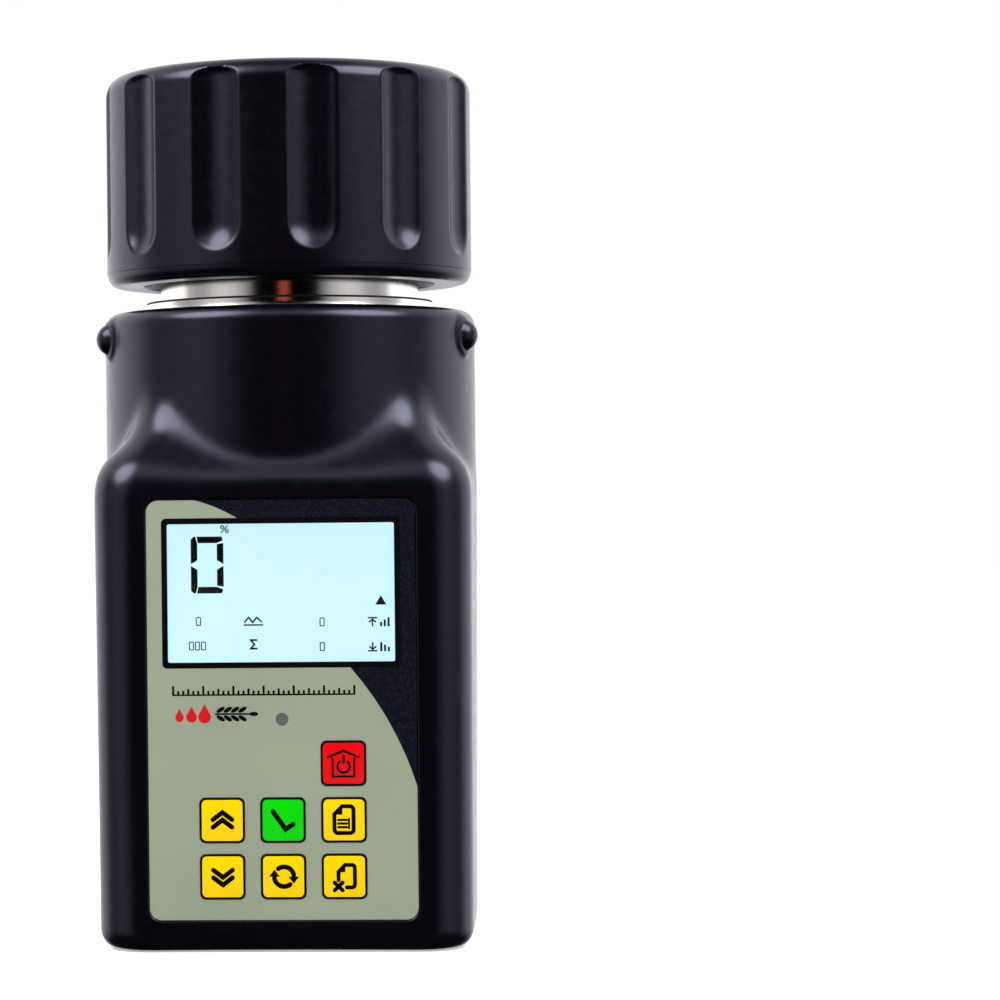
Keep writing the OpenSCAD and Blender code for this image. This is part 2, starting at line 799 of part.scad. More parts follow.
module pressure_plate() {
    color("#d9d6cf") {
        rotate_extrude() {
            translate([0, plate_z + 0.8]) square([plate_r, plate_t - 0.8]);
            translate([0, plate_z]) square([plate_r - 0.8, plate_t]);
            translate([plate_r - 0.8, plate_z + 0.8]) circle(0.8);
        }
        ring(6, stem_r + 0.02, plate_z + plate_t - 0.5, plate_z + plate_t + 3);
    }
}

module plunger_stem() {
    color("#c8cacc") difference() {
        translate([0, 0, plate_z + plate_t]) cylinder(r = stem_r, h = button_z - plate_z - plate_t);
        translate([0, 0, button_z - stem_screw_l]) cylinder(r = 1.65, h = 20);
    }
}

module stem_button() {
    color("#b3262a") difference() {
        translate([0, 0, button_z]) cylinder(r = button_r, h = button_t);
        translate([0, 0, button_z - 1]) cylinder(r = 1.7, h = 6);
        translate([0, 0, button_z + 1]) cylinder(r = 3.2, h = 6);
    }
}

module stem_screw() {
    color("silver") translate([0, 0, button_z + button_t - 0.2]) rotate([180, 0, 0])
        screw(3, 1.8, 1.6, stem_screw_l);
}

main_housing();
base_plate();
base_screws();
battery_door();
battery_tray();
battery();
battery_snap();
battery_leads();
battery_pad();
main_board();
board_screws();
board_chips();
board_sockets();
lcd_frame();
lcd_backlight();
lcd_glass();
lcd_pins();
lcd_lens();
overlay();
key_spacer();
key_circuit();
snap_domes();
keypad_tail();
indicator_lens();
indicator_led();
key_pad("key_power", "#e81010");  // key_power
key_pad("key_report", "#ffd800");  // key_report
key_pad("key_erase", "#ffd800");  // key_erase
key_pad("key_enter", "#10d810");  // key_enter
key_pad("key_cycle", "#ffd800");  // key_cycle
key_pad("key_up", "#ffd800");  // key_up
key_pad("key_down", "#ffd800");  // key_down
measuring_cell();
cell_gasket();
cell_nut();
cell_insulator();
lower_insulator();
centre_electrode();
electrode_nut();
sense_tag();
temperature_probe();
cell_leads();
cap_shell();
thread_insert();
thrust_washer();
plunger_spring();
pressure_plate();
plunger_stem();
stem_button();
stem_screw();
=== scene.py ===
"""Grain moisture meter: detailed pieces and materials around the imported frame."""

import math

import bmesh
import bpy
import numpy as np
from mathutils import Matrix, Vector


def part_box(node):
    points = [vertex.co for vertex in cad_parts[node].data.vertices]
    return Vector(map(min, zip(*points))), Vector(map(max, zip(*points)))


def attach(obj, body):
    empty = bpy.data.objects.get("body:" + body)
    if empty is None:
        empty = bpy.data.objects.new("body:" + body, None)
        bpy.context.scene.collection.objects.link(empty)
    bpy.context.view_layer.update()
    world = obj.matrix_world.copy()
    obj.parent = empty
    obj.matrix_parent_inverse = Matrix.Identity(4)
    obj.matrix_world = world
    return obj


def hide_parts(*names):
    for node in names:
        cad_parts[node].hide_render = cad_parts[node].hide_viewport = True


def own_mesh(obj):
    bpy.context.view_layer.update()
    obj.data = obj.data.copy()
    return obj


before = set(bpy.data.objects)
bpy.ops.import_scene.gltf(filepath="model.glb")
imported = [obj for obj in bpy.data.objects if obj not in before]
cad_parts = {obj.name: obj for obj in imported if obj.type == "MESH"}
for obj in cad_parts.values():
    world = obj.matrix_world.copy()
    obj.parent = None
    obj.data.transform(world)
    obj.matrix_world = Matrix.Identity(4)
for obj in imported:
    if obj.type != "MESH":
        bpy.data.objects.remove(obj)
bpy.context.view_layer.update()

MM = 0.001


# ---------------------------------------------------------------- meshes


def mm_box(node):
    """Lowest and highest corner of a CAD node, in millimetres."""
    lo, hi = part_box(node)
    return np.array(lo) / MM, np.array(hi) / MM


def build(name, points, faces, body=None, material=None, smooth=30.0):
    """A mesh object from points in millimetres, shaded smooth up to an angle."""
    mesh = bpy.data.meshes.new(name)
    mesh.from_pydata((np.asarray(points, float) * MM).tolist(), [], [list(map(int, f)) for f in faces])
    tidy = bmesh.new()
    tidy.from_mesh(mesh)
    bmesh.ops.recalc_face_normals(tidy, faces=tidy.faces)
    tidy.to_mesh(mesh)
    tidy.free()
    shade(mesh, smooth)
    piece = bpy.data.objects.new(name, mesh)
    bpy.context.scene.collection.objects.link(piece)
    if material:
        mesh.materials.append(material)
    if body:
        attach(piece, body)
    return piece


def shade(mesh, smooth):
    """Shades a mesh smooth, apart from edges sharper than an angle in degrees."""
    mesh.shade_smooth()
    mesh.set_sharp_from_angle(angle=math.radians(smooth))


def loft(name, loops, closed=False, **kw):
    """Joins loops of equal length into a skin. Open ends are filled, or the last meets the first."""
    loops = np.asarray(loops, float)
    rows, n = loops.shape[:2]
    i, j = np.meshgrid(np.arange(rows if closed else rows - 1), np.arange(n), indexing="ij")
    a, b = i * n + j, i * n + (j + 1) % n
    c, d = ((i + 1) % rows) * n + (j + 1) % n, ((i + 1) % rows) * n + j
    faces = np.stack([a, b, c, d], -1).reshape(-1, 4).tolist()
    if not closed:
        faces += [list(range(n))[::-1], list(range((rows - 1) * n, rows * n))]
    return build(name, loops.reshape(-1, 3), faces, **kw)


def rect(w, h, r, x=0.0, z=0.0, steps=8):
    """A rounded rectangle in the XZ plane, as points (x, z)."""
    out = []
    for k, (sx, sz) in enumerate(((1, 1), (-1, 1), (-1, -1), (1, -1))):
        for a in np.radians(90 * k + np.linspace(0, 90, steps + 1)):
            out.append((x + sx * (w / 2 - r) + r * math.cos(a), z + sz * (h / 2 - r) + r * math.sin(a)))
    return np.array(out)


def at_y(outline, y):
    """The points (x, z) of an outline, in the upright plane at y."""
    outline = np.asarray(outline, float)
    return np.column_stack([outline[:, 0], np.full(len(outline), y), outline[:, 1]])


def at_z(outline, z):
    """The points (x, y) of an outline, in the level plane at z."""
    outline = np.asarray(outline, float)
    return np.column_stack([outline, np.full(len(outline), z)])


def circle(r, n):
    """n points round a circle about the origin."""
    a = np.linspace(0, 2 * math.pi, n, endpoint=False)
    return np.column_stack([r * np.cos(a), r * np.sin(a)])


def rings(profile, angles):
    """Circles for each (radius, z) of a profile."""
    return [np.column_stack([r * np.cos(angles), r * np.sin(angles), np.full(len(angles), z)])
            for r, z in profile]


def meet(r, *fields):
    """Where all the solids overlap, with edges rounded to radius r."""
    fields = np.stack(np.broadcast_arrays(*fields))
    return np.minimum(fields.max(0), -r) + np.sqrt((np.maximum(fields + r, 0) ** 2).sum(0))


REACH, HALVINGS = 95.0, 36  # how far a ray is followed, and how often its span is halved


def skin_rows(field, rays, angles):
    """Points where rays from the axis leave a solid: one row for each (height, tilt) of rays."""
    height, tilt = np.array(rays, float).T
    tilt = np.radians(tilt)[:, None]
    way = np.stack(np.broadcast_arrays(np.cos(tilt) * np.cos(angles), np.cos(tilt) * np.sin(angles),
                                       np.sin(tilt)))
    start = np.zeros_like(way)
    start[2] = height[:, None]
    near, far = np.zeros(way.shape[1:]), np.full(way.shape[1:], REACH)
    for _ in range(HALVINGS):
        mid = (near + far) / 2
        inside = field(*(start + mid * way)) < 0
        near, far = np.where(inside, mid, near), np.where(inside, far, mid)
    return np.moveaxis(start + near * way, 0, -1)


def spaced(*stops):
    """Values from (start, end, count) stretches, joined end to end."""
    return np.concatenate([np.linspace(a, b, n, endpoint=False) for a, b, n in stops])


def angles_dense_near(centres, width, gain, n):
    """n angles round a turn, closer together within a width, in degrees, of the centres."""
    a = np.linspace(0, 2 * math.pi, 20 * 360 + 1)
    weight = np.ones_like(a)
    for c in centres:
        off = np.abs((a - math.radians(c) + math.pi) % (2 * math.pi) - math.pi)
        weight += gain * np.exp(-((off / math.radians(width)) ** 4))
    share = np.concatenate([[0], np.cumsum((weight[1:] + weight[:-1]) / 2)])
    return np.interp(np.arange(n) / n, share / share[-1], a)


def cut(piece, cutters, smooth=30.0):
    """Takes the cutters out of the piece, and deletes them."""
    for cutter in cutters:
        step = piece.modifiers.new(cutter.name, "BOOLEAN")
        step.operation, step.solver, step.object = "DIFFERENCE", "MANIFOLD", cutter
    graph = bpy.context.evaluated_depsgraph_get()
    mesh = bpy.data.meshes.new_from_object(piece.evaluated_get(graph))
    piece.modifiers.clear()
    mesh.name = piece.name
    piece.data = mesh
    shade(mesh, smooth)
    for cutter in cutters:
        bpy.data.objects.remove(cutter)


# ---------------------------------------------------------------- materials


def new_material(name):
    """A node material, with its nodes, links and shader."""
    material = bpy.data.materials.new(name)
    material.use_nodes = True
    nodes, links = material.node_tree.nodes, material.node_tree.links
    return material, nodes, links, nodes["Principled BSDF"]


def noise(nodes, links, scale, detail=3.0, stretch=(1, 1, 1)):
    """A noise texture over the object's own coordinates. scale is in features per metre."""
    place = nodes.new("ShaderNodeTexCoord")
    mapping = nodes.new("ShaderNodeMapping")
    mapping.inputs["Scale"].default_value = stretch
    texture = nodes.new("ShaderNodeTexNoise")
    texture.inputs["Scale"].default_value = scale
    texture.inputs["Detail"].default_value = detail
    links.new(place.outputs["Object"], mapping.inputs["Vector"])
    links.new(mapping.outputs["Vector"], texture.inputs["Vector"])
    return texture


def ramp(nodes, links, source, stops):
    """Colours by a value: stops are (position, (r, g, b))."""
    made = nodes.new("ShaderNodeValToRGB")
    elements = made.color_ramp.elements
    while len(elements) < len(stops):
        elements.new(0.5)
    for element, (position, colour) in zip(elements, stops):
        element.position = position
        element.color = (*colour, 1.0)
    links.new(source, made.inputs["Fac"])
    return made


def spread(nodes, links, source, low, high, a=0.3, b=0.7):
    """Maps the values a to b of a source to low to high."""
    made = nodes.new("ShaderNodeMapRange")
    for key, value in (("From Min", a), ("From Max", b), ("To Min", low), ("To Max", high)):
        made.inputs[key].default_value = value
    links.new(source, made.inputs["Value"])
    return made.outputs["Result"]


def feed(links, socket, value):
    """Gives an input a plain value, or links it to another node's output."""
    if isinstance(value, bpy.types.NodeSocket):
        links.new(value, socket)
    else:
        socket.default_value = value


def sum_of(nodes, links, kind, operation, *values):
    """The result of a Math or VectorMath node."""
    made = nodes.new("ShaderNode" + kind)
    made.operation = operation
    for socket, value in zip(made.inputs, values):
        feed(links, socket, value)
    number = kind == "Math" or operation in ("DISTANCE", "LENGTH")
    return made.outputs["Value" if number else "Vector"]


def mix(nodes, links, factor, a, b, blend="MIX"):
    """Colour a turning into colour b, or b added to it, as the factor goes from 0 to 1."""
    made = nodes.new("ShaderNodeMix")
    made.data_type, made.blend_type = "RGBA", blend
    for key, value in (("Factor", factor), ("A", a), ("B", b)):
        feed(links, made.inputs[key], value)
    return made.outputs["Result"]


def roughen(nodes, links, shader, height, strength, depth):
    """A bump over the shader, from a height."""
    bump = nodes.new("ShaderNodeBump")
    bump.inputs["Strength"].default_value = strength
    bump.inputs["Distance"].default_value = depth
    links.new(height, bump.inputs["Height"])
    links.new(bump.outputs["Normal"], shader.inputs["Normal"])


def finish_of(name, colour, rough, metal=0.0, specular=0.5, patch=60.0, vary=0.12, grain=2500.0,
              depth=0.00002, strength=0.25, stretch=(1, 1, 1), rough_vary=0.06, tint=(1.0, 1.0, 1.0)):
    """A surface with patches of tone, uneven gloss and a fine grain. patch and grain are in features
    per metre, vary and rough_vary are how far tone and gloss stray, strength and depth are the grain's
    bump, stretch draws the grain out, and tint colours the highlights."""
    material, nodes, links, shader = new_material(name)
    tone = noise(nodes, links, patch, 4.0)
    low = [c * (1 - vary) for c in colour]
    high = [min(1.0, c * (1 + vary)) for c in colour]
    links.new(ramp(nodes, links, tone.outputs["Fac"], [(0.3, low), (0.7, high)]).outputs["Color"],
              shader.inputs["Base Color"])
    gloss = noise(nodes, links, patch * 7, 3.0, stretch)
    links.new(spread(nodes, links, gloss.outputs["Fac"], rough - rough_vary, rough + rough_vary),
              shader.inputs["Roughness"])
    if strength:
        fine = noise(nodes, links, grain, 2.0, stretch)
        roughen(nodes, links, shader, fine.outputs["Fac"], strength, depth)
    shader.inputs["Metallic"].default_value = metal
    shader.inputs["Specular IOR Level"].default_value = specular
    shader.inputs["Specular Tint"].default_value = (*tint, 1)
    return material


BLACK_PLASTIC = (0.0007, 0.0008, 0.0022)
COOL = (0.95, 0.95, 1.27)  # the plastic's slightly blue highlights
housing_look = finish_of("housing_plastic", BLACK_PLASTIC, 0.25, specular=0.38, vary=0.2, grain=2200,
                         depth=0.00003, strength=0.08, rough_vary=0.03, tint=COOL)
cap_look = finish_of("cap_plastic", BLACK_PLASTIC, 0.25, specular=0.38, vary=0.2, grain=2200,
                     depth=0.00003, strength=0.1, rough_vary=0.035, tint=COOL)
LOOKS = {
    "base_plate": housing_look,
    "battery_door": housing_look,
    "battery_tray": finish_of("tray_plastic", (0.02, 0.02, 0.023), 0.5),
    "battery": finish_of("battery_wrap", (0.03, 0.13, 0.42), 0.35, vary=0.06, patch=25),
    "battery_snap": finish_of("snap_vinyl", (0.014, 0.014, 0.015), 0.55),
    "battery_pad": finish_of("foam", (0.05, 0.05, 0.055), 0.95, grain=1500, depth=0.0004, strength=0.8),
    "main_board": finish_of("solder_mask", (0.012, 0.12, 0.05), 0.32, vary=0.15, patch=120),
    "board_chips": finish_of("chip_epoxy", (0.015, 0.015, 0.017), 0.6, grain=5000),
    "board_sockets": finish_of("socket_nylon", (0.75, 0.71, 0.6), 0.45),
    "lcd_frame": finish_of("lcd_frame_plastic", (0.01, 0.01, 0.012), 0.5),
    "lcd_backlight": finish_of("light_guide", (0.78, 0.86, 0.9), 0.3, vary=0.03),
    "lcd_pins": finish_of("gold_plate", (0.85, 0.6, 0.22), 0.25, metal=1.0, strength=0.1),
    "key_spacer": finish_of("spacer_film", (0.65, 0.62, 0.55), 0.5),
    "key_circuit": finish_of("circuit_film", (0.55, 0.58, 0.6), 0.4),
    "snap_domes": finish_of("dome_steel", (0.62, 0.62, 0.61), 0.28, metal=1.0, stretch=(1, 1, 12)),
    "keypad_tail": finish_of("polyimide", (0.4, 0.2, 0.04), 0.35),
    "cell_gasket": finish_of("gasket_rubber", (0.02, 0.02, 0.022), 0.75, grain=4000),
    "cell_insulator": finish_of("ptfe", (0.82, 0.81, 0.77), 0.5, vary=0.04),
    "thread_insert": finish_of("insert_acetal", (0.52, 0.49, 0.4), 0.42, vary=0.06),
    "plunger_spring": finish_of("spring_steel", (0.45, 0.44, 0.43), 0.3, metal=1.0, patch=200),
    "stem_button": finish_of("button_red", (0.42, 0.02, 0.022), 0.35, vary=0.08),
}
turned = finish_of("turned_metal", (0.9, 0.86, 0.79), 0.13, metal=1.0, patch=90, vary=0.05, grain=900,
                   stretch=(1, 1, 14), depth=0.00002, strength=0.15, rough_vary=0.03)
rolled = finish_of("rolled_rim", (0.97, 0.955, 0.93), 0.14, metal=1.0, patch=90, vary=0.03, grain=900,
                   stretch=(1, 1, 14), depth=0.00002, strength=0.1, rough_vary=0.03)
steel = finish_of("screw_steel", (0.6, 0.6, 0.6), 0.28, metal=1.0, patch=150, grain=1800)
LOOKS.update({
    "measuring_cell": turned, "centre_electrode": turned, "pressure_plate": turned,
    "plunger_stem": turned, "cell_nut": turned, "temperature_probe": turned,
    "base_screws": steel, "board_screws": steel, "stem_screw": steel, "electrode_nut": steel,
    "sense_tag": LOOKS["lcd_pins"], "thrust_washer": LOOKS["cell_insulator"],
    "lower_insulator": LOOKS["cell_insulator"],
    "indicator_lens": finish_of("indicator_grey", (0.072, 0.074, 0.07), 0.4, strength=0),
    "indicator_led": finish_of("led_epoxy", (0.7, 0.74, 0.76), 0.15, strength=0),
    "battery_leads": finish_of("lead_vinyl_red", (0.3, 0.02, 0.02), 0.45),
    "cell_leads": finish_of("lead_vinyl_blue", (0.03, 0.06, 0.3), 0.45),
})
ink = finish_of("black_ink", (0.0015, 0.0015, 0.0022), 0.5, specular=0.06, vary=0.25, patch=300,
                strength=0)
red_ink = finish_of("red_ink", (0.4, 0.002, 0.005), 0.5, specular=0.12, vary=0.06, patch=300,
                    strength=0)

SAGE = (0.198, 0.226, 0.16)
NIGHT = (0.0028, 0.0035, 0.0081)
# The dark corner of the overlay lies outside two circles: (x, z, radius)
SAGE_CIRCLES = ((-36.6, 13.3, 66.2), (-26.0, 57.0, 34.0))


def overlay_look():
    """Printed film: sage inside either of two circles, and speckled dark blue outside both."""
    material, nodes, links, shader = new_material("overlay_print")
    place = nodes.new("ShaderNodeTexCoord").outputs["Object"]
    flat = sum_of(nodes, links, "VectorMath", "MULTIPLY", place, (1, 0, 1))
    beyond = []
    for x, z, radius in SAGE_CIRCLES:
        away = sum_of(nodes, links, "VectorMath", "DISTANCE", flat, (x * MM, 0, z * MM))
        beyond.append(sum_of(nodes, links, "Math", "GREATER_THAN", away, radius * MM))
    outside = sum_of(nodes, links, "Math", "MULTIPLY", *beyond)
    soft = noise(nodes, links, 45, 3.0)
    light = ramp(nodes, links, soft.outputs["Fac"],
                 [(0.3, [c * 0.96 for c in SAGE]), (0.7, [c * 1.04 for c in SAGE])])
    speck = noise(nodes, links, 2600, 1.0).outputs["Fac"]
    dark = ramp(nodes, links, speck,
                [(0.42, [c * 0.7 for c in NIGHT]), (0.58, NIGHT), (0.72, [c * 2.2 for c in NIGHT])])
    links.new(mix(nodes, links, outside, light.outputs["Color"], dark.outputs["Color"]),
              shader.inputs["Base Color"])
    links.new(spread(nodes, links, speck, 0.34, 0.46), shader.inputs["Roughness"])
    shader.inputs["Specular IOR Level"].default_value = 0.15
    roughen(nodes, links, shader, speck, 0.3, 0.00002)
    return material


def display_look():
    """A lit display: pale cyan, with very faint patches."""
    material, nodes, links, shader = new_material("lit_display")
    tone = noise(nodes, links, 30, 2.0)
    colour = ramp(nodes, links, tone.outputs["Fac"],
                  [(0.3, (0.58, 0.9, 0.985)), (0.7, (0.62, 0.94, 1.0))])
    links.new(colour.outputs["Color"], shader.inputs["Emission Color"])
    shader.inputs["Emission Strength"].default_value = 0.93
    shader.inputs["Base Color"].default_value = (0.05, 0.07, 0.07, 1)
    shader.inputs["Roughness"].default_value = 0.3
    return material


def clear_look():
    """Clear film with an anti-reflection coating, which its low IOR stands for."""
    material, nodes, links, shader = new_material("clear_window")
    smear = noise(nodes, links, 120, 3.0)
    links.new(spread(nodes, links, smear.outputs["Fac"], 0.02, 0.06), shader.inputs["Roughness"])
    shader.inputs["Base Color"].default_value = (1, 1, 1, 1)
    shader.inputs["Transmission Weight"].default_value = 1.0
    shader.inputs["IOR"].default_value = 1.2
    return material


LOOKS["overlay"] = overlay_look()
LOOKS["lcd_glass"] = display_look()
LOOKS["lcd_lens"] = clear_look()


# ---------------------------------------------------------------- housing

NECK_R = 38.7
NECK_TOP = mm_box("main_housing")[1][2]
FRONT, BACK = mm_box("main_housing")[0][1], mm_box("main_housing")[1][1]
WALL = 2.5
HALF_WIDTH, HALF_DEPTH, SIDE_BOW, CORNER_R = 38.5, 41.0, 0.9, 9.0  # the box in plan
BASE_DRAFT = 0.45  # how much narrower each side is at the base than at the eaves
FOOT_R, NECK_EDGE_R = 4.0, 3.0
BASE_INNER_R, TOP_RADII = 25.0, (28.5, 15.0)  # the innermost rows, on the flat base and top
EAVES = 94.5  # where the front's plane would meet the shoulder's slope
CORNER_LIFT = 1.4  # how much higher that is at the box's corners
CORNER_FROM, CORNER_TO = 41.5, 52.0  # distances from the axis between which it climbs
LEAST_OVERHANG, LEAST_RISE = 0.02, 0.04  # of the eaves past the neck, and of the slope
SHOULDER_SMOOTH_R = 14.0  # corners of the plan that the shoulder's slope follows
EAVES_R, VALLEY_R, FULL_ROOM = 10.0, 19.0, 33.0  # bends over and under, where they have full room
NECK_START = 117.0  # above this the neck is straight
SLANT_SHARE = 0.414  # of the wall's thickness, by which the eaves inside lie lower: tan(22.5 degrees)
BOSS_ANGLES = (-19.0, 199.0)
BOSS_Z = NECK_TOP - 5.6
BOSS_R, BOSS_SUNK = 3.4, 0.55
BOSS_RING, BOSS_RING_R, BOSS_RING_FADE = 0.75, 4.3, 0.28  # the raised foot round a boss


def outline_field(x, y, narrow=0.0, corner=CORNER_R):
    """The box in plan: sides that bow out a little in the middle, and rounded corners."""
    side = np.abs(x) - (HALF_WIDTH - narrow - SIDE_BOW * (y / HALF_DEPTH) ** 2)
    return meet(corner, side, FRONT - y, y - BACK)


def outline_radius(angles, skin, narrow):
    """Distance from the axis to the outline at each angle."""
    flat = skin_rows(lambda x, y, z: outline_field(x, y, narrow) + skin, [(0.0, 0.0)], angles)[0]
    return np.hypot(flat[:, 0], flat[:, 1])


def sweep(centre, radius, start, end, count):
    """Points (radius, height) along an arc, for every angle round the axis at once."""
    share = np.linspace(0, 1, count)[:, None]
    a = start + (end - start) * share
    return np.stack(np.broadcast_arrays(centre[0] + radius * np.cos(a), centre[1] + radius * np.sin(a)), -1)


def between(a, b, shares):
    """Rows of (radius, height) between two rows."""
    shares = np.asarray(shares)[:, None, None]
    return a + (b - a) * shares


def roof_rise(angles, neck, skin):
    """How far the sloping shoulder climbs from the eaves to the neck, evened out round the corners."""
    rise = 0
    offsets = np.radians(np.linspace(-12, 12, 9))
    weights = np.exp(-0.5 * (offsets / math.radians(6)) ** 2)
    for offset, weight in zip(offsets, weights / weights.sum()):
        x, y = neck * np.cos(angles + offset), neck * np.sin(angles + offset)
        inset = -outline_field(x, y, 0.0, SHOULDER_SMOOTH_R) - skin
        rise = rise + weight * np.maximum(inset, LEAST_RISE)
    return rise


def soften(rows, count, rounds):
    """Even steps along each profile, then its bends eased by averaging neighbours."""
    step = np.linalg.norm(np.diff(rows, axis=0), axis=-1)
    along = np.vstack([np.zeros(rows.shape[1]), np.cumsum(step, 0)])
    even = np.empty((count, *rows.shape[1:]))
    for i in range(rows.shape[1]):
        at = np.linspace(0, along[-1, i], count)
        for axis in (0, 1):
            even[:, i, axis] = np.interp(at, along[:, i], rows[:, i, axis])
    for _ in range(rounds):
        even[1:-1] = (even[:-2] + 2 * even[1:-1] + even[2:]) / 4
    return even[::2]


def no_more_than(limit, value):
    """The smaller of two lengths, with a gradual change between them."""
    return value / (1 + (value / limit) ** 4) ** 0.25


def level(radius, height, like):
    """One row of points at a height: a radius for all angles, or one for each."""
    return np.stack([radius + 0 * like, height + 0 * like], -1)


def eaves_at(high, skin):
    """Height of the eaves at each angle: a little higher round the corners."""
    corner = np.clip((high - CORNER_FROM) / (CORNER_TO - CORNER_FROM), 0, 1)
    return EAVES + CORNER_LIFT * corner**2 * (3 - 2 * corner) - SLANT_SHARE * skin


def shoulder_rows(angles, wall, high, neck, skin):
    """The eaves' bend, the slope and the bend up into the neck, eased into one curve. wall is the row
    that they start from, and high is where the eaves are at each angle."""
    eaves, rise = eaves_at(high, skin), roof_rise(angles, neck, skin)
    run = high - neck
    slope, turn = np.hypot(run, rise), np.arctan2(run, rise)
    room = slope / np.tan(turn / 2)
    share = room / FULL_ROOM
    over = no_more_than(0.5 * room, (EAVES_R - skin) * share**0.6)
    under = no_more_than(0.5 * room, (VALLEY_R + skin) * share**0.85)
    lead_over, lead_under = over * np.tan(turn / 2), under * np.tan(turn / 2)
    arch = sweep((high - over, eaves - lead_over), over, 0.0, turn, 14)
    face = between(wall, arch[0], [0.01, 0.05, 0.2, 0.4, 0.6, 0.8])
    valley = sweep((neck + under, eaves + rise + lead_under), -under, turn, 0.0, 14)
    bends = [between(face[-1], arch[0], [0.2, 0.5, 0.8]), arch, between(arch[-1], valley[0], [0.5]),
             valley, level(neck, NECK_START, high)[None]]
    return [face, soften(np.concatenate(bends), 121, 44)]


def housing_rows(angles, skin=0.0):
    """Profiles from the base up the wall, over the rounded eaves and the sloping shoulder, and up the
    neck: one for each angle, drawn in by skin."""
    neck, top, edge = NECK_R - skin, NECK_TOP - skin, NECK_EDGE_R - 0.8 * skin
    low, high = outline_radius(angles, skin, BASE_DRAFT), outline_radius(angles, skin, 0.0)
    least = neck + LEAST_OVERHANG
    high = least + np.logaddexp(3 * (high - least), 0) / 3  # the greater of the two, blended
    foot = sweep((low - FOOT_R, skin + FOOT_R), FOOT_R, -math.pi / 2, 0.0, 9)
    rows = [level(BASE_INNER_R, skin, low)[None], level(low - FOOT_R - 0.6, skin, low)[None], foot]
    rows += shoulder_rows(angles, foot[-1], high, neck, skin)
    rows.append(between(level(neck, NECK_START, low), level(neck, top - edge, low),
                        np.linspace(0.035, 0.99, 28)))
    rows.append(sweep(level(neck - edge, top - edge, low).T, edge, 0.0, math.pi / 2, 12))
    rows += [level(r, top, low)[None] for r in (neck - edge - 0.4, *TOP_RADII)]
    return np.concatenate(rows)


def boss_height(angles, height):
    """How far the two domed bosses stand out of the neck."""
    tall = np.zeros_like(height)
    for angle in BOSS_ANGLES:
        turn = (angles - math.radians(angle) + math.pi) % (2 * math.pi) - math.pi
        off = np.hypot(NECK_R * turn, height - BOSS_Z)
        dome = np.sqrt(np.maximum(BOSS_R**2 - off**2, 0)) - BOSS_SUNK
        foot = BOSS_RING / (1 + np.exp((off - BOSS_RING_R) / BOSS_RING_FADE))
        both = np.logaddexp(dome * 5, foot * 5) / 5 - 0.03  # the greater, with a fillet between them
        tall = np.maximum(tall, np.where(dome > -0.5, both, foot))
    return tall * (tall > 0.004)


def housing_skin(angles, skin=0.0):
    """The housing's outer surface, or its inner one at a depth of skin, as rows of points."""
    rows = housing_rows(angles, skin)
    radius, height = rows[..., 0], rows[..., 1]
    if not skin:
        radius = radius + boss_height(angles, height)
    return np.stack([radius * np.cos(angles), radius * np.sin(angles), height], -1)


def prism(name, outline, y0, y1):
    """A solid with the same outline all the way from front to back."""
    return loft(name, [at_y(outline, y0), at_y(outline, y1)])


def recess_cutter():
    """The panel's recess, with a rounded lip."""
    lo, hi = mm_box("overlay")
    play, corner, lip = 0.3, 2.55, 0.35
    w, h, z = hi[0] - lo[0] + play, hi[2] - lo[2] + play, (lo[2] + hi[2]) / 2
    loops = [at_y(rect(w, h, corner, 0, z), mm_box("key_circuit")[1][1])]
    for a in np.radians(np.linspace(0, 90, 6)):
        grow = lip * (1 - math.cos(a))
        loops.append(at_y(rect(w + 2 * grow, h + 2 * grow, corner + grow, 0, z),
                          FRONT + lip - lip * math.sin(a)))
    loops.append(at_y(rect(w + 2 * lip, h + 2 * lip, corner + lip, 0, z), FRONT - 2))
    return loft("recess", loops)


CELL_HOLE_R = 27.15
LAMP_HOLE_R, LAMP_Z = 1.8, 46.2
DOOR_W, DOOR_H, DOOR_Z = 30.5, 55.5, 39.5  # the battery door's opening and its middle
# The hinge pins' holes
HINGE_Y, HINGE_Z, PIN_R, PIN_FROM, PIN_TO = BACK - 1.3, 13.3, 0.88, 14.8, 17.1


def pin_hole(side):
    """The hinge pin's hole at one side of the battery door."""
    across, up = circle(PIN_R, 24).T
    return loft("pin_hole", [np.column_stack([0 * up + side * x, across + HINGE_Y, up + HINGE_Z])
                             for x in (PIN_FROM, PIN_TO)])


def make_housing():
    """The housing: a hollow shell with its openings cut out."""
    corners = [45, 135, 225, 315]
    housing = loft("housing_shell", housing_skin(angles_dense_near([*BOSS_ANGLES, *corners], 9, 2.2, 512)))
    base_w, base_d, base_top = mm_box("base_plate")[1] * (2, 2, 1)
    lens_lo, lens_hi = mm_box("lcd_lens")
    lens_w, _, lens_h = lens_hi - lens_lo
    play, front_in = 0.15, (FRONT + 1, FRONT + WALL + 2)
    cutters = [
        loft("cavity", housing_skin(np.linspace(0, 2 * math.pi, 144, endpoint=False), WALL)),
        loft("base_opening", [at_z(rect(base_w + 2 * play, base_d + 2 * play, 3), z)
                              for z in (-1, base_top + play)]),
        loft("cell_hole", [at_z(circle(CELL_HOLE_R, 128), z) for z in (NECK_TOP - WALL - 2, NECK_TOP + 2)]),
        recess_cutter(),
        prism("window", rect(lens_w + 0.5, lens_h + 0.5, 0.3, 0, (lens_lo[2] + lens_hi[2]) / 2), *front_in),
        prism("led_hole", circle(LAMP_HOLE_R, 32) + (0, LAMP_Z), *front_in),
        prism("bay", rect(DOOR_W, DOOR_H, 0.3, 0, DOOR_Z), BACK - 6, BACK + 2),
        pin_hole(-1),
        pin_hole(1),
    ]
    cut(housing, cutters, 28)
    housing.data.materials.clear()
    housing.data.materials.append(housing_look)
    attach(housing, "housing")
    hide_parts("main_housing")


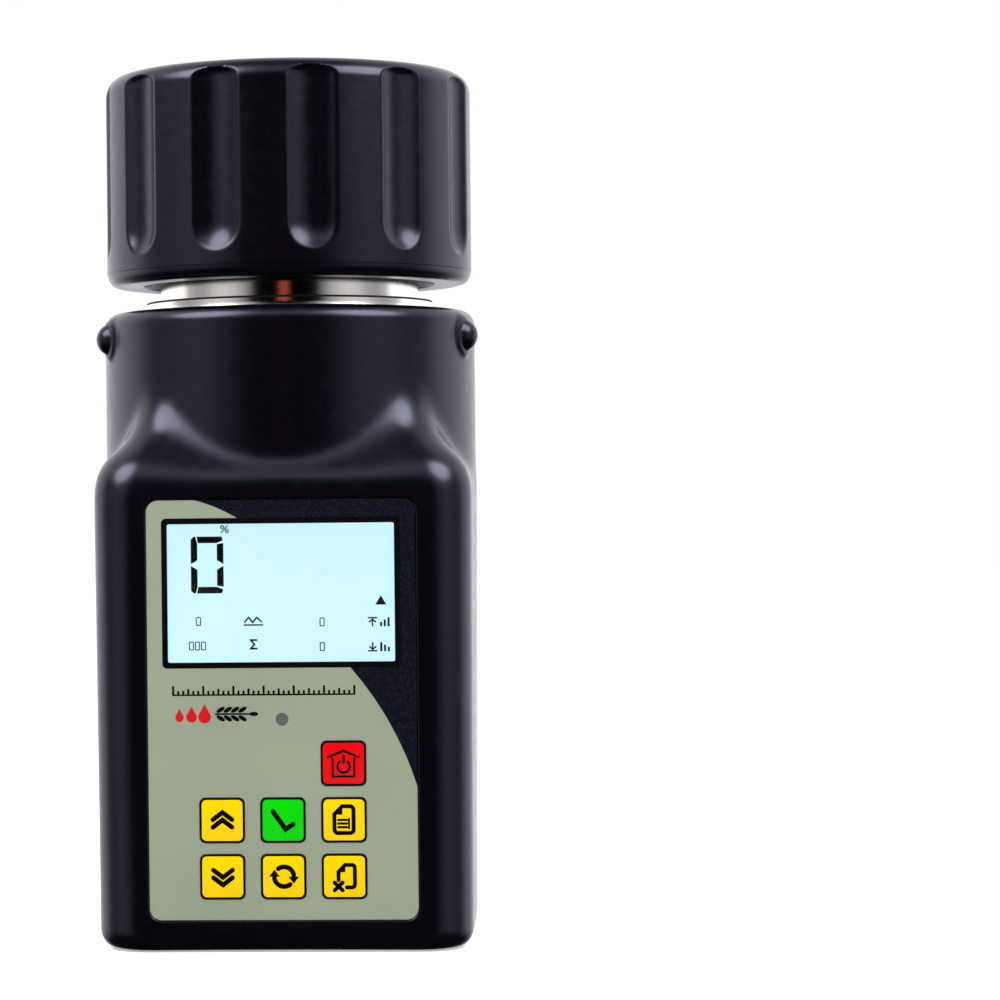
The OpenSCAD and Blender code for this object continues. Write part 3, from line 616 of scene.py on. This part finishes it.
# ---------------------------------------------------------------- cap


def arch_height(off, radius):
    """How far a circular arc has bent away from its tangent, at a distance along it."""
    return radius - np.sqrt(np.maximum(radius**2 - off**2, 0))


FLUTES, FIRST_FLUTE = 12, 10.6  # how many, and the turn of the first from the front, in degrees
FLUTE_DEPTH, FLUTE_HALF, CAP_EDGE_R = 1.7, 5.0, 4.0
FLUTE_RAMP_R, FLUTE_LIP_R = 10.0, 2.0  # how a flute runs out at its lower and upper ends
FLUTE_FROM, FLUTE_TO = 11.0, 3.4  # those ends, above the cap's foot and below its top
FLUTE_BRIM_R = 0.3


def cap_field(foot, top, radius):
    """The fluted cap's outside, as a function that is negative inside it."""
    drop = math.sqrt(radius**2 - FLUTE_HALF**2) - radius + FLUTE_DEPTH
    bar = (FLUTE_HALF**2 + drop**2) / (2 * drop)
    pitch, first = 2 * math.pi / FLUTES, math.radians(FIRST_FLUTE - 90)

    def field(x, y, z):
        rho, a = np.hypot(x, y), np.arctan2(y, x) - first
        a = (a + pitch / 2) % pitch - pitch / 2
        out, across = rho * np.cos(a), rho * np.sin(a)
        below, above = np.maximum(foot + FLUTE_FROM - z, 0), np.maximum(z - top + FLUTE_TO, 0)
        floor = radius - FLUTE_DEPTH + arch_height(across, bar)
        floor = floor + arch_height(below, FLUTE_RAMP_R) + arch_height(above, FLUTE_LIP_R)
        flute = (floor - out) / np.hypot(1, across / bar)
        return meet(FLUTE_BRIM_R, meet(CAP_EDGE_R, rho - radius, z - top), -flute)

    return field


def make_cap():
    """The screw cap, with its flutes, its rolled foot and the stepped bore under its top."""
    lo, hi = mm_box("cap_shell")
    foot, top, radius = lo[2], hi[2], hi[0]
    angles = np.linspace(0, 2 * math.pi, 720, endpoint=False) + math.radians(FIRST_FLUTE - 90)
    crown = top - 8.5  # above this the rays fan out
    heights = spaced((foot + 2.75, foot + 4.5, 4), (foot + 4.5, foot + 12.5, 32), (foot + 12.5, crown, 6))
    rays = [(h, 0.0) for h in heights] + [(crown, t) for t in spaced((0, 15.5, 46), (15.5, 20, 2))]
    roll = 2.3
    outer = [(30.9, foot), (35.2, foot)]
    outer += [(radius - 0.2 - roll + roll * math.sin(a), foot + roll - roll * math.cos(a))
              for a in np.radians(np.linspace(0, 85, 9))]
    outer += [(radius - 0.17, foot + 2.45), (radius - 0.03, foot + 2.55)]
    bore, guide, collar, room, mouth = 9.3, 4.1, 13, 25.4, 30.5
    seat, roof, web, insert_top = top - 6.1, top - 8.5, top - 4.0, foot + 22.5
    inner = [(20, top), (bore + 0.9, top), (bore + 0.45, top), (bore + 0.12, top - 0.13),
             (bore, top - 0.45), (bore, seat), (guide, seat), (guide, roof), (collar - 0.4, roof),
             (collar, roof + 0.4), (collar, web), (room, web), (room, insert_top), (mouth, insert_top),
             (mouth, foot + 0.4), (mouth + 0.12, foot + 0.12)]
    side = list(skin_rows(cap_field(foot, top, radius), rays, angles))
    cap = loft("cap_body", rings(outer, angles) + side + rings(inner, angles), closed=True, body="cap",
               material=cap_look, smooth=32)
    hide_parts("cap_shell")


SPRING_TURNS, WIRE_R = 6, 0.8


def make_spring():
    """The plunger's return spring, at the length of its CAD node, carried with the cap carrier."""
    lo, hi = mm_box("plunger_spring")
    coil, low, high = hi[0] - WIRE_R, lo[2] + WIRE_R, hi[2] - WIRE_R
    shut = 2 * WIRE_R + 0.15  # the pitch of the closed turn at each end
    pitch = (high - low - 2 * shut) / (SPRING_TURNS - 2)
    loops = []
    for turn in np.linspace(0, SPRING_TURNS, SPRING_TURNS * 32 + 1):
        closed = min(turn, 1) + max(turn - SPRING_TURNS + 1, 0)
        z = low + shut * closed + pitch * min(max(turn - 1, 0), SPRING_TURNS - 2)
        a, k = 2 * math.pi * turn, np.linspace(0, 2 * math.pi, 12, endpoint=False)
        r = coil + WIRE_R * np.cos(k)
        loops.append(np.column_stack([r * math.cos(a), r * math.sin(a), z + WIRE_R * np.sin(k)]))
    spring = loft("return_spring", loops, body="cap_carrier", material=LOOKS["plunger_spring"], smooth=40)
    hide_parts("plunger_spring")
    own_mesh(spring)


FLANGE_LOW, FLANGE_HIGH = 129.1, 130.62


def make_flange_rim():
    """The bright rim over the edge of the measuring cell's flange, and on top of it a thin black ring of
    painted shade for the dark line between the flange and the cell.
    """
    angles = np.linspace(0, 2 * math.pi, 240, endpoint=False)
    low, high, out = FLANGE_LOW, FLANGE_HIGH, mm_box("measuring_cell")[1][0] + 0.05
    lean, bevel = 0.12, 0.05
    profile = [(28.6, low + 0.02), (out - 0.12, low), (out - 0.03, low + 0.04), (out, low + 0.14),
               (out - 0.02, low + 0.22), (out - lean, high - bevel),
               (out - lean - 0.04, high - bevel + 0.03), (out - lean - bevel, high), (28.9, high),
               (28.6, high - 0.12)]
    rim = loft("flange_rim", rings(profile, angles), closed=True, body="housing", material=rolled,
               smooth=25)
    # A thin black ring on the flange's top: painted shade for the dark line above the flange, not a real
    # seal.
    inside, outside, low, high = 29.0, 29.96, high - 0.03, high + 0.4
    profile = [(inside, low), (outside - 0.1, low), (outside, low + 0.09), (outside, high - 0.1),
               (outside - 0.1, high), (inside, high)]
    painted_shade_ring = loft("flange_painted_shade", rings(profile, angles), closed=True, body="housing",
                material=LOOKS["cell_gasket"], smooth=50)


# ---------------------------------------------------------------- printed marks


INK_THICK = 0.02


def ribbon(points, width, loop=False):
    """The outline of a stroke along points, with mitred corners: rounded at its ends, or for a closed
    loop a pair of outlines."""
    p = np.asarray(points, float)
    n = len(p)
    step = np.roll(p, -1, 0) - p
    step /= np.linalg.norm(step, axis=1)[:, None] + 1e-12
    left = np.column_stack([-step[:, 1], step[:, 0]])
    off = np.zeros_like(p)
    for i in range(n):
        before, after = left[i - 1], left[i]
        if not loop and i == 0:
            before = after
        if not loop and i == n - 1:
            after = before
        mid = before + after
        off[i] = mid / max(mid @ after, 0.3)
    a, b = p + off * width / 2, p - off * width / 2
    if loop:
        return a, b
    return np.array([*a, *round_end(p[-1], left[-2], width), *b[::-1], *round_end(p[0], -left[0], width)])


def round_end(centre, left, width):
    """Points of a half circle from the left side round to the right."""
    ahead = np.array([left[1], -left[0]])
    return [centre + width / 2 * (left * math.cos(a) + ahead * math.sin(a))
            for a in np.radians(np.linspace(30, 150, 5))]


def marks(name, shapes, y, body, material):
    """Flat printed shapes in one piece, standing a little proud of the plane y, towards the front.
    A shape is an outline, or a pair of outlines for a ring."""
    points, faces = [], []
    for shape in shapes:
        if isinstance(shape, tuple):
            base, n = len(points), len(shape[0])
            for depth in (y - INK_THICK, y):
                for outline in shape:
                    points.extend(at_y(outline, depth))
            for i in range(n):
                j = (i + 1) % n
                for s, t in ((0, 1), (1, 3), (3, 2), (2, 0)):
                    faces.append([base + s * n + i, base + s * n + j, base + t * n + j, base + t * n + i])
        else:
            base, n = len(points), len(shape)
            points.extend(at_y(shape, y - INK_THICK))
            points.extend(at_y(shape, y))
            faces.append([base + i for i in range(n)])
            faces.append([base + n + i for i in range(n)][::-1])
            faces += [[base + i, base + (i + 1) % n, base + n + (i + 1) % n, base + n + i] for i in range(n)]
    piece = build(name, points, faces, body=body, material=material, smooth=20)


def arc(radius, start, end, x=0.0, z=0.0, n=20):
    """Points (x, z) along an arc, with its angles in degrees."""
    a = np.radians(np.linspace(start, end, n))
    return np.column_stack([x + radius * np.cos(a), z + radius * np.sin(a)])


def bold_nought(w, h, stroke, x, z, gap):
    """The six lit segments of a seven-segment nought, centred at x, z. The gaps at its right are finer
    than those at its left."""
    right, top, corner = w / 2, h / 2, 0.28 * stroke
    shapes = []
    for up in (1, -1):
        shapes.append([(-right + stroke + gap, up * (top - stroke)),
                       (right - stroke - gap * 0.2, up * (top - stroke)),
                       (right - gap * 0.4, up * (top - corner - stroke * 0.3)), (right - corner, up * top),
                       (-right + stroke * 0.75 + gap, up * top)])
        shapes.append([(-right, up * gap), (-right + stroke, up * (gap + 0.6 * stroke)),
                       (-right + stroke, up * (top - stroke)), (-right + stroke * 0.7, up * top),
                       (-right + corner * 1.6, up * top), (-right, up * (top - corner * 1.6))])
        shapes.append([(right, up * gap), (right - stroke, up * (gap + 0.6 * stroke)),
                       (right - stroke, up * (top - stroke - gap * 1.3)),
                       (right, up * (top - stroke - gap * 0.1))])
    return [np.array(o) + (x, z) for o in shapes]


def thin_nought(x, z, w=1.0, h=1.75, stroke=0.2):
    """A small nought, as a pair of outlines."""
    return ribbon(rect(w - stroke, h - stroke, 0.12, x, z, 2), stroke, loop=True)


SMALL_NOUGHTS = ((-16.5, 65.7), (8.1, 65.4), (8.1, 60.5), (-17.95, 60.8), (-16.75, 60.8), (-15.55, 60.8))


def limit_sign(z, up):
    """Greatest (up is 1) or least (-1): an arrow to a bar, beside three bars that rise or fall."""
    shapes = [ribbon([(17.3, z + 0.8 * up), (18.9, z + 0.8 * up)], 0.3),
              ribbon([(17.5, z), (18.1, z + 0.5 * up), (18.7, z)], 0.3),
              ribbon([(18.1, z - 0.8 * up), (18.1, z + 0.3 * up)], 0.3)]
    for k in range(3):
        tall, x = 0.55 + 0.45 * (k if up > 0 else 2 - k), 19.8 + 0.75 * k
        shapes.append(ribbon([(x, z - 0.75), (x, z - 0.75 + tall)], 0.42))
    return shapes


def make_display():
    """The display's black border, and the signs lit on its glass."""
    lens_lo, lens_hi = mm_box("lcd_lens")
    w, h, z = lens_hi[0] - lens_lo[0], lens_hi[2] - lens_lo[2], (lens_lo[2] + lens_hi[2]) / 2
    border = (rect(w + 0.3, h + 0.3, 0.95, 0, z), rect(w - 2.0, h - 2.0, 0.4, 0, z))
    marks("display_border", [border], lens_lo[1], "housing", ink)
    shapes = bold_nought(6.5, 11.3, 1.3, -14.65, 76.9, 0.17)
    shapes += [thin_nought(*place) for place in SMALL_NOUGHTS]
    shapes.append(np.array([(18.7, 68.75), (20.9, 68.75), (19.8, 70.6)]))
    # per cent sign
    shapes += [ribbon([(-11.8, 83.3), (-10.5, 84.7)], 0.22), ribbon(arc(0.3, 0, 342, -10.65, 83.6), 0.22),
               ribbon(arc(0.3, 0, 342, -11.6, 84.4), 0.22)]
    # mean: a wavy trace over a level line
    shapes.append(ribbon([(-7.3, 65.5), (-6.5, 66.4), (-5.7, 65.4), (-4.9, 66.4), (-3.9, 65.5)], 0.32))
    shapes.append(ribbon([(-7.4, 64.9), (-3.7, 64.9)], 0.3))
    # sum of samples
    shapes.append(ribbon([(-4.95, 61.9), (-6.1, 61.9), (-5.4, 61.05), (-6.1, 60.2), (-4.95, 60.2)], 0.36))
    shapes += limit_sign(65.35, 1) + limit_sign(60.4, -1)
    marks("display_segments", shapes, mm_box("lcd_glass")[0][1], "housing", ink)


SCALE_LEFT, SCALE_Z, TICKS = -21.6, 51.1, 37  # a tick each millimetre
EAR_Z, SEED_HALF, SEED_THIN, SEED_LEAN = 47.3, 0.95, 0.42, 0.55
DROPS = ((-20.4, 46.9, 0.85), (-18.0, 47.0, 1.05), (-15.4, 47.1, 1.25))


def seed(x, z, half, lean):
    """A grain: an ellipse, turned by an angle in radians."""
    a = np.linspace(0, 2 * math.pi, 24, endpoint=False)
    points = np.column_stack([half * np.cos(a), SEED_THIN * np.sin(a)])
    c, s = math.cos(lean), math.sin(lean)
    return points @ np.array([[c, s], [-s, c]]) + (x, z)


def water_drop(x, z, r):
    """A water drop with its point up."""
    side = arc(r, -215, 35, x, z - 0.3 * r, 26)
    return np.vstack([side, [(x, z + 1.75 * r)]])


def make_panel_print():
    """The scale, the ear of grain and the drops printed under the display."""
    face = mm_box("overlay")[0][1]
    scale = [rect(TICKS - 0.6, 0.3, 0.1, SCALE_LEFT + (TICKS - 1) / 2, SCALE_Z, 2)]
    for k in range(TICKS):
        tall = 1.7 if k % 6 == 0 else (1.15 if k % 3 == 0 else 0.75)
        scale.append(rect(0.42, tall, 0.1, SCALE_LEFT + k, SCALE_Z + 0.1 + tall / 2, 2))
    ear = [ribbon([(-13.2, EAR_Z), (-6.6, EAR_Z)], 0.34)]
    for k in range(4):
        for side in (-1, 1):
            ear.append(seed(-12.2 + 1.45 * k, EAR_Z + side * 0.85, SEED_HALF, SEED_LEAN * side))
    ear.append(seed(-5.6, EAR_Z, 0.9, 0))
    marks("panel_scale", scale, face, "housing", ink)
    marks("panel_grain_mark", ear, face, "housing", ink)
    marks("panel_drop_mark", [water_drop(*d) for d in DROPS], face, "housing", red_ink)


# ---------------------------------------------------------------- keys

# Colour and material slot of each kind of key
KEY_KINDS = {"power": ((0.5, 0.001, 0.003), "key_red"), "enter": ((0.001, 0.42, 0.001), "key_green"),
             "other": ((0.63, 0.41, 0.0005), "key_yellow")}
KEY_CORNER_R = 1.3


def chevrons(down=False):
    """Two angle brackets, one over the other, pointing up or down."""
    flip = -1 if down else 1
    return [ribbon([(-1.85, flip * (0.15 + s)), (0.05, flip * (1.6 + s)), (1.95, flip * (0.15 + s))], 0.95)
            for s in (0, -1.5)]


def page(open_foot=False):
    """A sheet with a folded corner: with lines on it, or open at its lower left."""
    outline = [(-1.2, -0.75), (-1.2, 0.9), (0.1, 2.28), *arc(0.6, 90, 0, 1.45, 1.68, 6),
               *arc(0.6, 0, -90, 1.45, -1.57, 6), (0.45, -2.17)]
    if open_foot:
        return [ribbon(outline, 0.8), np.array([(-1.25, 0.85), (0.15, 0.85), (0.15, 2.3)])]
    outline = [(-1.9, 1.15), (-0.35, 2.7), *arc(0.7, 90, 0, 1.2, 2.0, 6), *arc(0.7, 0, -90, 1.2, -1.9, 6),
               *arc(0.7, -90, -180, -1.2, -1.9, 6)]
    shapes = [ribbon(outline, 0.8, loop=True), np.array([(-1.7, 1.05), (-0.3, 1.05), (-0.3, 2.5)])]
    shapes += [ribbon([(-1.15, z), (0.55, z)], 0.46) for z in (0.0, -0.72, -1.44)]
    return shapes + [ribbon([(0.98, 0.2), (0.98, -1.64)], 0.42)]


ICONS = {
    "key_power": [ribbon([(-3.0, 1.25), (0, 2.5), (3.0, 1.25)], 0.5),
                  ribbon([(-2.15, 0.95), (-2.15, -2.6), (2.15, -2.6), (2.15, 0.95)], 0.42),
                  ribbon(arc(1.22, 128, 412, 0.02, -0.62), 0.5), ribbon([(0.02, 1.5), (0.02, 0.15)], 0.52)],
    "key_enter": [ribbon([(-2.0, 1.75), (0.5, -1.8), (2.0, -0.8)], 0.98)],
    "key_up": chevrons(),
    "key_down": chevrons(down=True),
    "key_cycle": [ribbon(arc(1.95, 126, 8, 0.1, 0.0), 0.95), ribbon(arc(1.95, -52, -172, 0.1, 0.0), 0.95),
                  np.array([(0.95, 0.0), (3.1, 0.0), (2.03, -1.4)]),
                  np.array([(-2.9, 0.0), (-0.75, 0.0), (-1.83, 1.4)])],
    "key_report": page(),
    "key_erase": page(open_foot=True) + [ribbon([(-2.0, -2.75), (-0.4, -1.2)], 0.8),
                                         ribbon([(-2.0, -1.2), (-0.4, -2.75)], 0.8)],
}


def key_face(node, look):
    """A key's domed face: its film's colour inside a black border."""
    lo, hi = mm_box(node)
    size, x, z = hi[0] - lo[0], (lo[0] + hi[0]) / 2, (lo[2] + hi[2]) / 2
    # How much smaller than the key each loop is, and where it lies. The border ends at the last but one
    steps = [(0.3, hi[1]), (0.0, hi[1] - 0.15), (0.0, lo[1] + 0.1), (0.1, lo[1] + 0.03), (0.24, lo[1]),
             (0.78, lo[1]), (0.86, lo[1] - 0.02)]
    loops = [at_y(rect(size - less, size - less, KEY_CORNER_R - less / 2, x, z, 6), y) for less, y in steps]
    face = loft(node + "_face", loops, body=node, material=ink, smooth=40)
    face.data.materials.append(look)
    for polygon in face.data.polygons[(len(steps) - 2) * len(loops[0]):]:
        polygon.material_index = 1
    return face, lo[1], (x, z)


def make_keys():
    """The seven keys' faces, and the signs printed on them."""
    looks = {kind: finish_of("key_film_" + kind, colour, 0.36, specular=0.08, vary=0.03, patch=200,
                             grain=3500, strength=0.15) for kind, (colour, _) in KEY_KINDS.items()}
    for node, shapes in ICONS.items():
        kind = node[len("key_"):]
        kind = kind if kind in KEY_KINDS else "other"
        face, front, middle = key_face(node, looks[kind])
        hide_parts(node)
        placed = [tuple(o + middle for o in s) if isinstance(s, tuple) else s + middle for s in shapes]
        marks(node + "_icon", placed, front - 0.02, node, ink)


# ---------------------------------------------------------------- scene


def dress_nodes():
    """Gives the CAD pieces that stay their materials, and rounds the measuring cell's edges."""
    for name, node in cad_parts.items():
        if name in LOOKS:
            for slot in node.material_slots:
                slot.material = LOOKS[name]
            if not node.material_slots:
                node.data.materials.append(LOOKS[name])
    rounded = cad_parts["measuring_cell"].modifiers.new("rounded_edges", "BEVEL")
    rounded.width, rounded.segments, rounded.angle_limit = 0.6 * MM, 4, math.radians(50)
    rounded.harden_normals = True


def make_camera():
    """A long lens, a little to the right of the front and near the object's middle height."""
    turn, tilt, roll = math.radians(3.43), math.radians(0.16), math.radians(0.6)
    distance, height, azimuth = 0.716, 0.090, math.radians(3.34)
    camera = bpy.data.objects.new("camera", bpy.data.cameras.new("camera"))
    bpy.context.scene.collection.objects.link(camera)
    ahead = Vector((-math.sin(turn) * math.cos(tilt), math.cos(turn) * math.cos(tilt), -math.sin(tilt)))
    right = Vector((math.cos(turn), math.sin(turn), 0))
    up = right.cross(ahead)
    right, up = right * math.cos(roll) - up * math.sin(roll), up * math.cos(roll) + right * math.sin(roll)
    place = (distance * math.sin(azimuth), -distance * math.cos(azimuth), height)
    facing = Matrix((right, up, -ahead)).transposed().to_4x4()
    camera.matrix_world = Matrix.Translation(place) @ facing
    camera.data.lens, camera.data.sensor_width = 122.6, 36
    camera.data.shift_x, camera.data.shift_y = 0.2135, 0.0078
    bpy.context.scene.camera = camera


def softbox(name, azimuth, elevation, width, height, radiance, distance=0.75):
    """An oval light facing the object's middle. Azimuth 0 is the front, and 90 the right."""
    a, e = math.radians(azimuth), math.radians(elevation)
    away = Vector((math.sin(a) * math.cos(e), -math.cos(a) * math.cos(e), math.sin(e)))
    light = bpy.data.objects.new(name, bpy.data.lights.new(name, "AREA"))
    bpy.context.scene.collection.objects.link(light)
    light.data.shape, light.data.size, light.data.size_y = "ELLIPSE", width, height
    light.data.energy = radiance * math.pi * width * height * math.pi / 4
    light.location = Vector((0, 0, 0.1)) + away * distance
    light.rotation_mode = "QUATERNION"
    light.rotation_quaternion = away.to_track_quat("Z", "Y")
    light.visible_camera = False


def floor_look():
    """White paper that glows a little, so that it stays pale far from the lights."""
    paper = finish_of("floor_paper", (0.84, 0.84, 0.845), 0.9, vary=0.01, strength=0)
    shader = paper.node_tree.nodes["Principled BSDF"]
    shader.inputs["Emission Color"].default_value = (1, 1, 1, 1)
    shader.inputs["Emission Strength"].default_value = 0.42
    return paper


LIGHT_AZIMUTH, LIGHT_ELEVATION = 58, 42
DAYLIGHT = (0.97, 0.98, 1.04)
# Brightness of the room seen in the object, from straight ahead of it (0) to straight behind it (1)
ROUND_THE_ROOM = ((0.0, 0.0), (0.055, 0.002), (0.1, 0.32), (0.15, 0.52), (0.22, 0.66), (0.3, 0.6),
                  (0.38, 0.4), (0.47, 0.34), (0.57, 0.5), (0.65, 1.3), (0.8, 1.3), (1.0, 1.3))
# The same for the ceiling, by the height of the direction
OVER_THE_TOP = ((0.0, 1.0), (0.8, 1.0), (0.88, 0.75), (0.95, 0.25), (1.0, 0.15))
CEILING_FROM, CEILING_TO = 0.5, 0.66  # heights between which the room gives way to the ceiling
DARK_BELOW, DIM_BELOW = -0.5, -0.15  # heights between which it darkens towards the ground
GROUND = (0.02, 0.02, 0.022, 1)
# Something warm stands in front of the object: where, how narrow each way, and its colour
WARM_PLACE, WARM_NARROW, WARM_COLOUR = (-0.03, -0.998, 0.057), (9, 1, 26), (0.5, 0.11, 0.06)
BLACK = (0.0, 0.0, 0.0)


def daylight(nodes, links, source, stops):
    """The daylight's colour, by a value: stops are (position, brightness)."""
    coloured = [(at, [c * glow for c in DAYLIGHT]) for at, glow in stops]
    return ramp(nodes, links, source, coloured).outputs["Color"]


def room_colour(nodes, links):
    """The room's colour in each direction, as the object reflects it."""
    way = nodes.new("ShaderNodeTexCoord").outputs["Generated"]
    split = nodes.new("ShaderNodeSeparateXYZ")
    links.new(way, split.inputs["Vector"])
    back, up = split.outputs["Y"], split.outputs["Z"]
    walls = daylight(nodes, links, spread(nodes, links, back, 0, 1, -1, 1), ROUND_THE_ROOM)
    ceiling = daylight(nodes, links, up, OVER_THE_TOP)
    above = ramp(nodes, links, up, [(CEILING_FROM, BLACK), (CEILING_TO, (1.0,) * 3)]).outputs["Color"]
    room = mix(nodes, links, above, walls, ceiling)
    room = mix(nodes, links, spread(nodes, links, up, 0, 1, DARK_BELOW, DIM_BELOW), GROUND, room)
    off = sum_of(nodes, links, "VectorMath", "SUBTRACT", way, WARM_PLACE)
    off = sum_of(nodes, links, "VectorMath", "MULTIPLY", off, WARM_NARROW)
    reach = sum_of(nodes, links, "VectorMath", "LENGTH", off)
    warm = ramp(nodes, links, reach, [(0.55, WARM_COLOUR), (1.0, BLACK)]).outputs["Color"]
    return mix(nodes, links, 1.0, room, warm, blend="ADD")


def make_studio():
    """Two soft oval lights above, each in a wider glow; a room that is bright behind the object and dim
    in front of it; and a pale floor."""
    for name, side in (("left", -1), ("right", 1)):
        softbox(name + "_light", side * LIGHT_AZIMUTH, LIGHT_ELEVATION, 0.5, 0.5, 7.0)
        softbox(name + "_glow", side * LIGHT_AZIMUTH, LIGHT_ELEVATION, 0.8, 0.66, 1.0, 0.8)
    world = bpy.data.worlds.new("studio")
    bpy.context.scene.world = world
    world.use_nodes = True
    nodes, links = world.node_tree.nodes, world.node_tree.links
    seen = nodes.new("ShaderNodeLightPath").outputs["Is Camera Ray"]
    links.new(mix(nodes, links, seen, room_colour(nodes, links), (1, 1, 1, 1)),
              nodes["Background"].inputs["Color"])
    half, z = 3000, -0.2
    floor = build("floor", [(-half, -half, z), (half, -half, z), (half, half, z), (-half, half, z)],
                  [(0, 1, 2, 3)], material=floor_look())
    floor.visible_glossy = False
    bpy.context.scene.view_settings.view_transform = "Standard"


make_camera()
make_studio()
dress_nodes()
make_housing()
make_cap()
make_flange_rim()
make_spring()
make_display()
make_panel_print()
make_keys()
